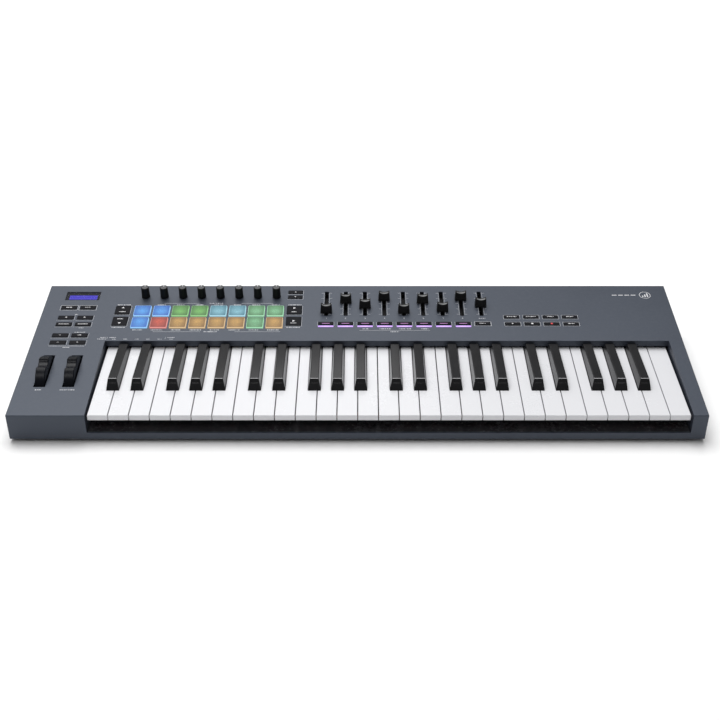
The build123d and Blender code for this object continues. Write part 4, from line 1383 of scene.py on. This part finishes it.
@dataclass
class Legends:
    """Printed marks on the panel: rules, ticks, numerals and wordless labels."""

    stroke: float = 0.4
    label_height: float = 1.5
    small_height: float = 1.3
    wheel_labels_q: float = 44.5
    pad_label_gaps: Point2 = (13.6, 14.0)
    pad_rule_gaps: Point2 = (3.4, 3.6)
    slider_middle: float = 212.8
    slider_travel: float = 45.0
    slider_ticks: int = 5
    numeral_gap: float = 11.3
    scale_start: float = -295.5
    scale_pitch: float = 13.85
    scale_bars: Point2 = (-304.0, -233.5)
    scale_rows: Point2 = (139.6, 142.8)
    emblem: Point2 = (366.0, 231.0)
    emblem_radii: Point2 = (7.2, 6.5)

    def build(self) -> None:
        """Print everything on the panel."""
        page = Print("panel_legends", "root", PRINT_AND_HIGHLIGHT, Slot.CASE)
        self.left_block(page)
        self.pad_block(page)
        self.slider_block(page)
        self.key_block(page)
        page.build()
        self.mark()

    def left_block(self, page: Print) -> None:
        """Print labels about the display buttons and the wheels."""
        caps = islands("left_buttons")
        left, right = caps[0], caps[1]
        middle = (left.x + right.x) / 2
        page.bar(middle, left.q - 7.0, 43.0, self.stroke)
        page.label(middle, left.q - 9.3, 8.5, self.label_height, 1)
        page.label(caps[3].x - 1, caps[3].q + 6.5, 13.0, self.small_height, 2)
        page.label(caps[5].x - 1, caps[5].q - 7.0, 5.5, self.label_height, 3)
        page.label(middle, caps[6].q + 6.9, 4.0, self.small_height, 4)
        for node, width, seed in (("pitch_wheel", 7.5, 5), ("mod_wheel", 17.0, 6)):
            low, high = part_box(node)
            wheel_x = (low.x + high.x) / 2 / MM
            page.label(wheel_x, self.wheel_labels_q, width, self.label_height, seed)

    def pad_block(self, page: Print) -> None:
        """Print rules and labels about the pads and knobs."""
        upper, lower = islands("pads_upper_row"), islands("pads_lower_row")
        far, near = upper[0].q + self.pad_label_gaps[0], lower[0].q - self.pad_label_gaps[1]
        for number, cap in enumerate(upper[1:], start=2):
            page.label(cap.x - 1.0, far, 9.0 + number % 3, self.label_height, 10 + number)
        for number, cap in enumerate(lower):
            page.label(cap.x - 1.0, near, 12.0 + 2 * (number % 2), self.label_height, 20 + number)
        far += self.pad_rule_gaps[0]
        near -= self.pad_rule_gaps[1]
        page.bar((upper[1].x + upper[3].x) / 2, far, 44.0, self.stroke)
        page.bar((upper[5].x + upper[7].x) / 2, far, 40.0, self.stroke)
        page.label(upper[4].x - 4, far, 17.0, self.label_height, 31)
        page.bar((lower[1].x + lower[3].x) / 2, near, 58.0, self.stroke)
        page.bar((lower[5].x + lower[7].x) / 2 + 4, near, 56.0, self.stroke)
        page.label(lower[4].x - 6, near, 17.0, self.label_height, 32)
        buttons = Buttons()
        for number, cap in enumerate(islands("navigation_buttons")):
            if cap.height > buttons.square_height:
                q = cap.q + 11.4 if cap.q > buttons.square_middle else cap.q - 12.2
                page.label(cap.x, q, 16.5, self.label_height, 33 + number)

    def slider_block(self, page: Print) -> None:
        """Print ticks, numerals and labels about the sliders."""
        caps = islands("fader_buttons")
        foot = self.slider_middle - self.slider_travel / 2
        for number, cap in enumerate(caps, start=1):
            for step in range(self.slider_ticks):
                q = foot + self.slider_travel * step / (self.slider_ticks - 1)
                for sign in (-1, 1):
                    page.bar(cap.x + sign * 5.2, q, 3.0, 0.35)
            for sign in (-1, 1):
                page.bar(cap.x + sign * 3.4, self.slider_middle, 0.3, self.slider_travel + 3.0)
            if number < len(caps):
                page.numeral(number, cap.x, cap.q + self.numeral_gap, 2.2)
            else:
                page.label(cap.x, cap.q + self.numeral_gap, 8.0, self.small_height, 49)
        group = caps[2:6]
        for number, (cap, width) in enumerate(zip(group, (7.0, 14.0, 14.5, 9.0))):
            page.label(cap.x + 0.5, cap.q - 10.3, width, 1.4, 50 + number)
        first, last = group[0].x, group[-1].x
        page.bar((first + last) / 2, caps[0].q - 13.4, last - first + 14.0, self.stroke)
        page.label((first + last) / 2, caps[0].q - 16.2, 11.0, self.small_height, 58)

    def key_block(self, page: Print) -> None:
        """Print a scale of small marks behind the lowest keys."""
        near, far = self.scale_rows
        for number in range(6):
            page.label(self.scale_start + self.scale_pitch * number, near, 4.6, 1.0, 80 + number)
        for number, bar_x in enumerate(self.scale_bars):
            page.bar(bar_x, 141.6, 0.35, 4.2)
            page.label(bar_x + 6.8, far, 9.0, 1.2, 88 + number)
        page.label(self.scale_bars[0] - 4.9, far, 7.5, 1.2, 90)
        page.label(self.scale_bars[0] - 6.4, near + 0.2, 10.5, 1.2, 92)

    def mark(self) -> None:
        """Print a plain emblem: rising level bars in a round frame, beside four dashes."""
        emblem = Print("level_emblem", "root", ICON, Slot.CASE)
        x, q = self.emblem
        outer, inner = (circle(x, q, radius, 56) for radius in self.emblem_radii)
        for i, point in enumerate(outer):
            j = (i + 1) % len(outer)
            emblem.shape([point, outer[j], inner[j], inner[i]])
        for step, height in enumerate((3.0, 5.4, 7.8)):
            emblem.bar(x - 3.0 + 3.0 * step, q - 4.0 + height / 2, 1.5, height)
        for step in range(4):
            emblem.bar(x - 39.0 + 8.0 * step, q, 6.0, 1.3)
        emblem.build()


@dataclass
class Softbox:
    """One rectangular studio light."""

    name: str
    stand: Point3
    aim: Point3
    size: Point2
    power: float

    def build(self) -> None:
        """Hang the light."""
        data = bpy.data.lights.new(self.name, "AREA")
        data.shape = "RECTANGLE"
        data.size, data.size_y = self.size
        data.energy = self.power
        lamp = bpy.data.objects.new(self.name, data)
        lamp.location = self.stand
        way = Vector(self.aim) - Vector(self.stand)
        lamp.rotation_euler = way.to_track_quat("-Z", "Y").to_euler()
        bpy.context.scene.collection.objects.link(lamp)


@dataclass
class Studio:
    """Floor, lights and camera."""

    lens: float = 57.84
    sensor: float = 36.0
    eye: Point3 = (0.00307, -1.1795, 0.7910)
    pitch: float = 32.83
    floor_size: float = 16.0
    floor_grey: float = 0.96
    surround: float = 0.2
    softboxes: tuple[Softbox, ...] = (
        Softbox("overhead", (-0.2, 1.0, 3.3), (0.0, 0.2, 0.0), (3.2, 2.2), 127.0),
        Softbox("rear_left", (-0.85, 2.1, 2.1), (-0.1, 0.0, 0.0), (2.4, 1.1), 14.0),
        Softbox("front_left_strip", (-0.75, -1.0, 1.7), (-0.2, 0.0, 0.0), (0.9, 0.25), 4.5),
        Softbox("rear_band", (-0.8, 3.3, 0.9), (0.0, 0.0, 0.0), (5.0, 0.5), 4.0),
    )

    def build(self) -> None:
        """Set the stage."""
        self.camera()
        self.floor()
        for softbox in self.softboxes:
            softbox.build()
        self.world()
        bpy.context.scene.view_settings.view_transform = "Standard"

    def camera(self) -> None:
        """Stand the camera in front of the player's side."""
        data = bpy.data.cameras.new("front_camera")
        data.lens = self.lens
        data.sensor_width = self.sensor
        camera = bpy.data.objects.new("front_camera", data)
        camera.location = self.eye
        camera.rotation_euler = (math.radians(90 - self.pitch), 0.0, 0.0)
        bpy.context.scene.collection.objects.link(camera)
        bpy.context.scene.camera = camera

    def floor(self) -> None:
        """Lay a plain pale floor."""
        half = self.floor_size / 2
        mesh = bpy.data.meshes.new("studio_floor")
        corners = [(-half, -half, 0), (half, -half, 0), (half, half, 0), (-half, half, 0)]
        mesh.from_pydata(corners, [], [(0, 1, 2, 3)])
        floor = bpy.data.objects.new("studio_floor", mesh)
        material, _, shader = blank_material("pale_floor")
        feed(shader, {
            "Base Color": rgba((self.floor_grey,) * 3), "Roughness": 0.9, "Specular IOR Level": 0.1,
        })
        mesh.materials.append(material)
        bpy.context.scene.collection.objects.link(floor)

    def world(self) -> None:
        """Surround everything with an even white."""
        world = bpy.data.worlds.new("surround")
        world.use_nodes = True
        feed(world.node_tree.nodes["Background"], {"Color": (1, 1, 1, 1), "Strength": self.surround})
        bpy.context.scene.world = world


def main() -> None:
    """Build the sub-assemblies in order and report them."""
    logging.basicConfig(level=logging.INFO)
    stages = (
        Studio(), Housing(), Inside(), Keys(), Wheels(), Display(),
        Pads(), Knobs(), Faders(), Buttons(), Legends(),
    )
    for stage in stages:
        stage.build()
        LOG.info("built %s", type(stage).__name__)


if __name__ == "__main__":
    main()
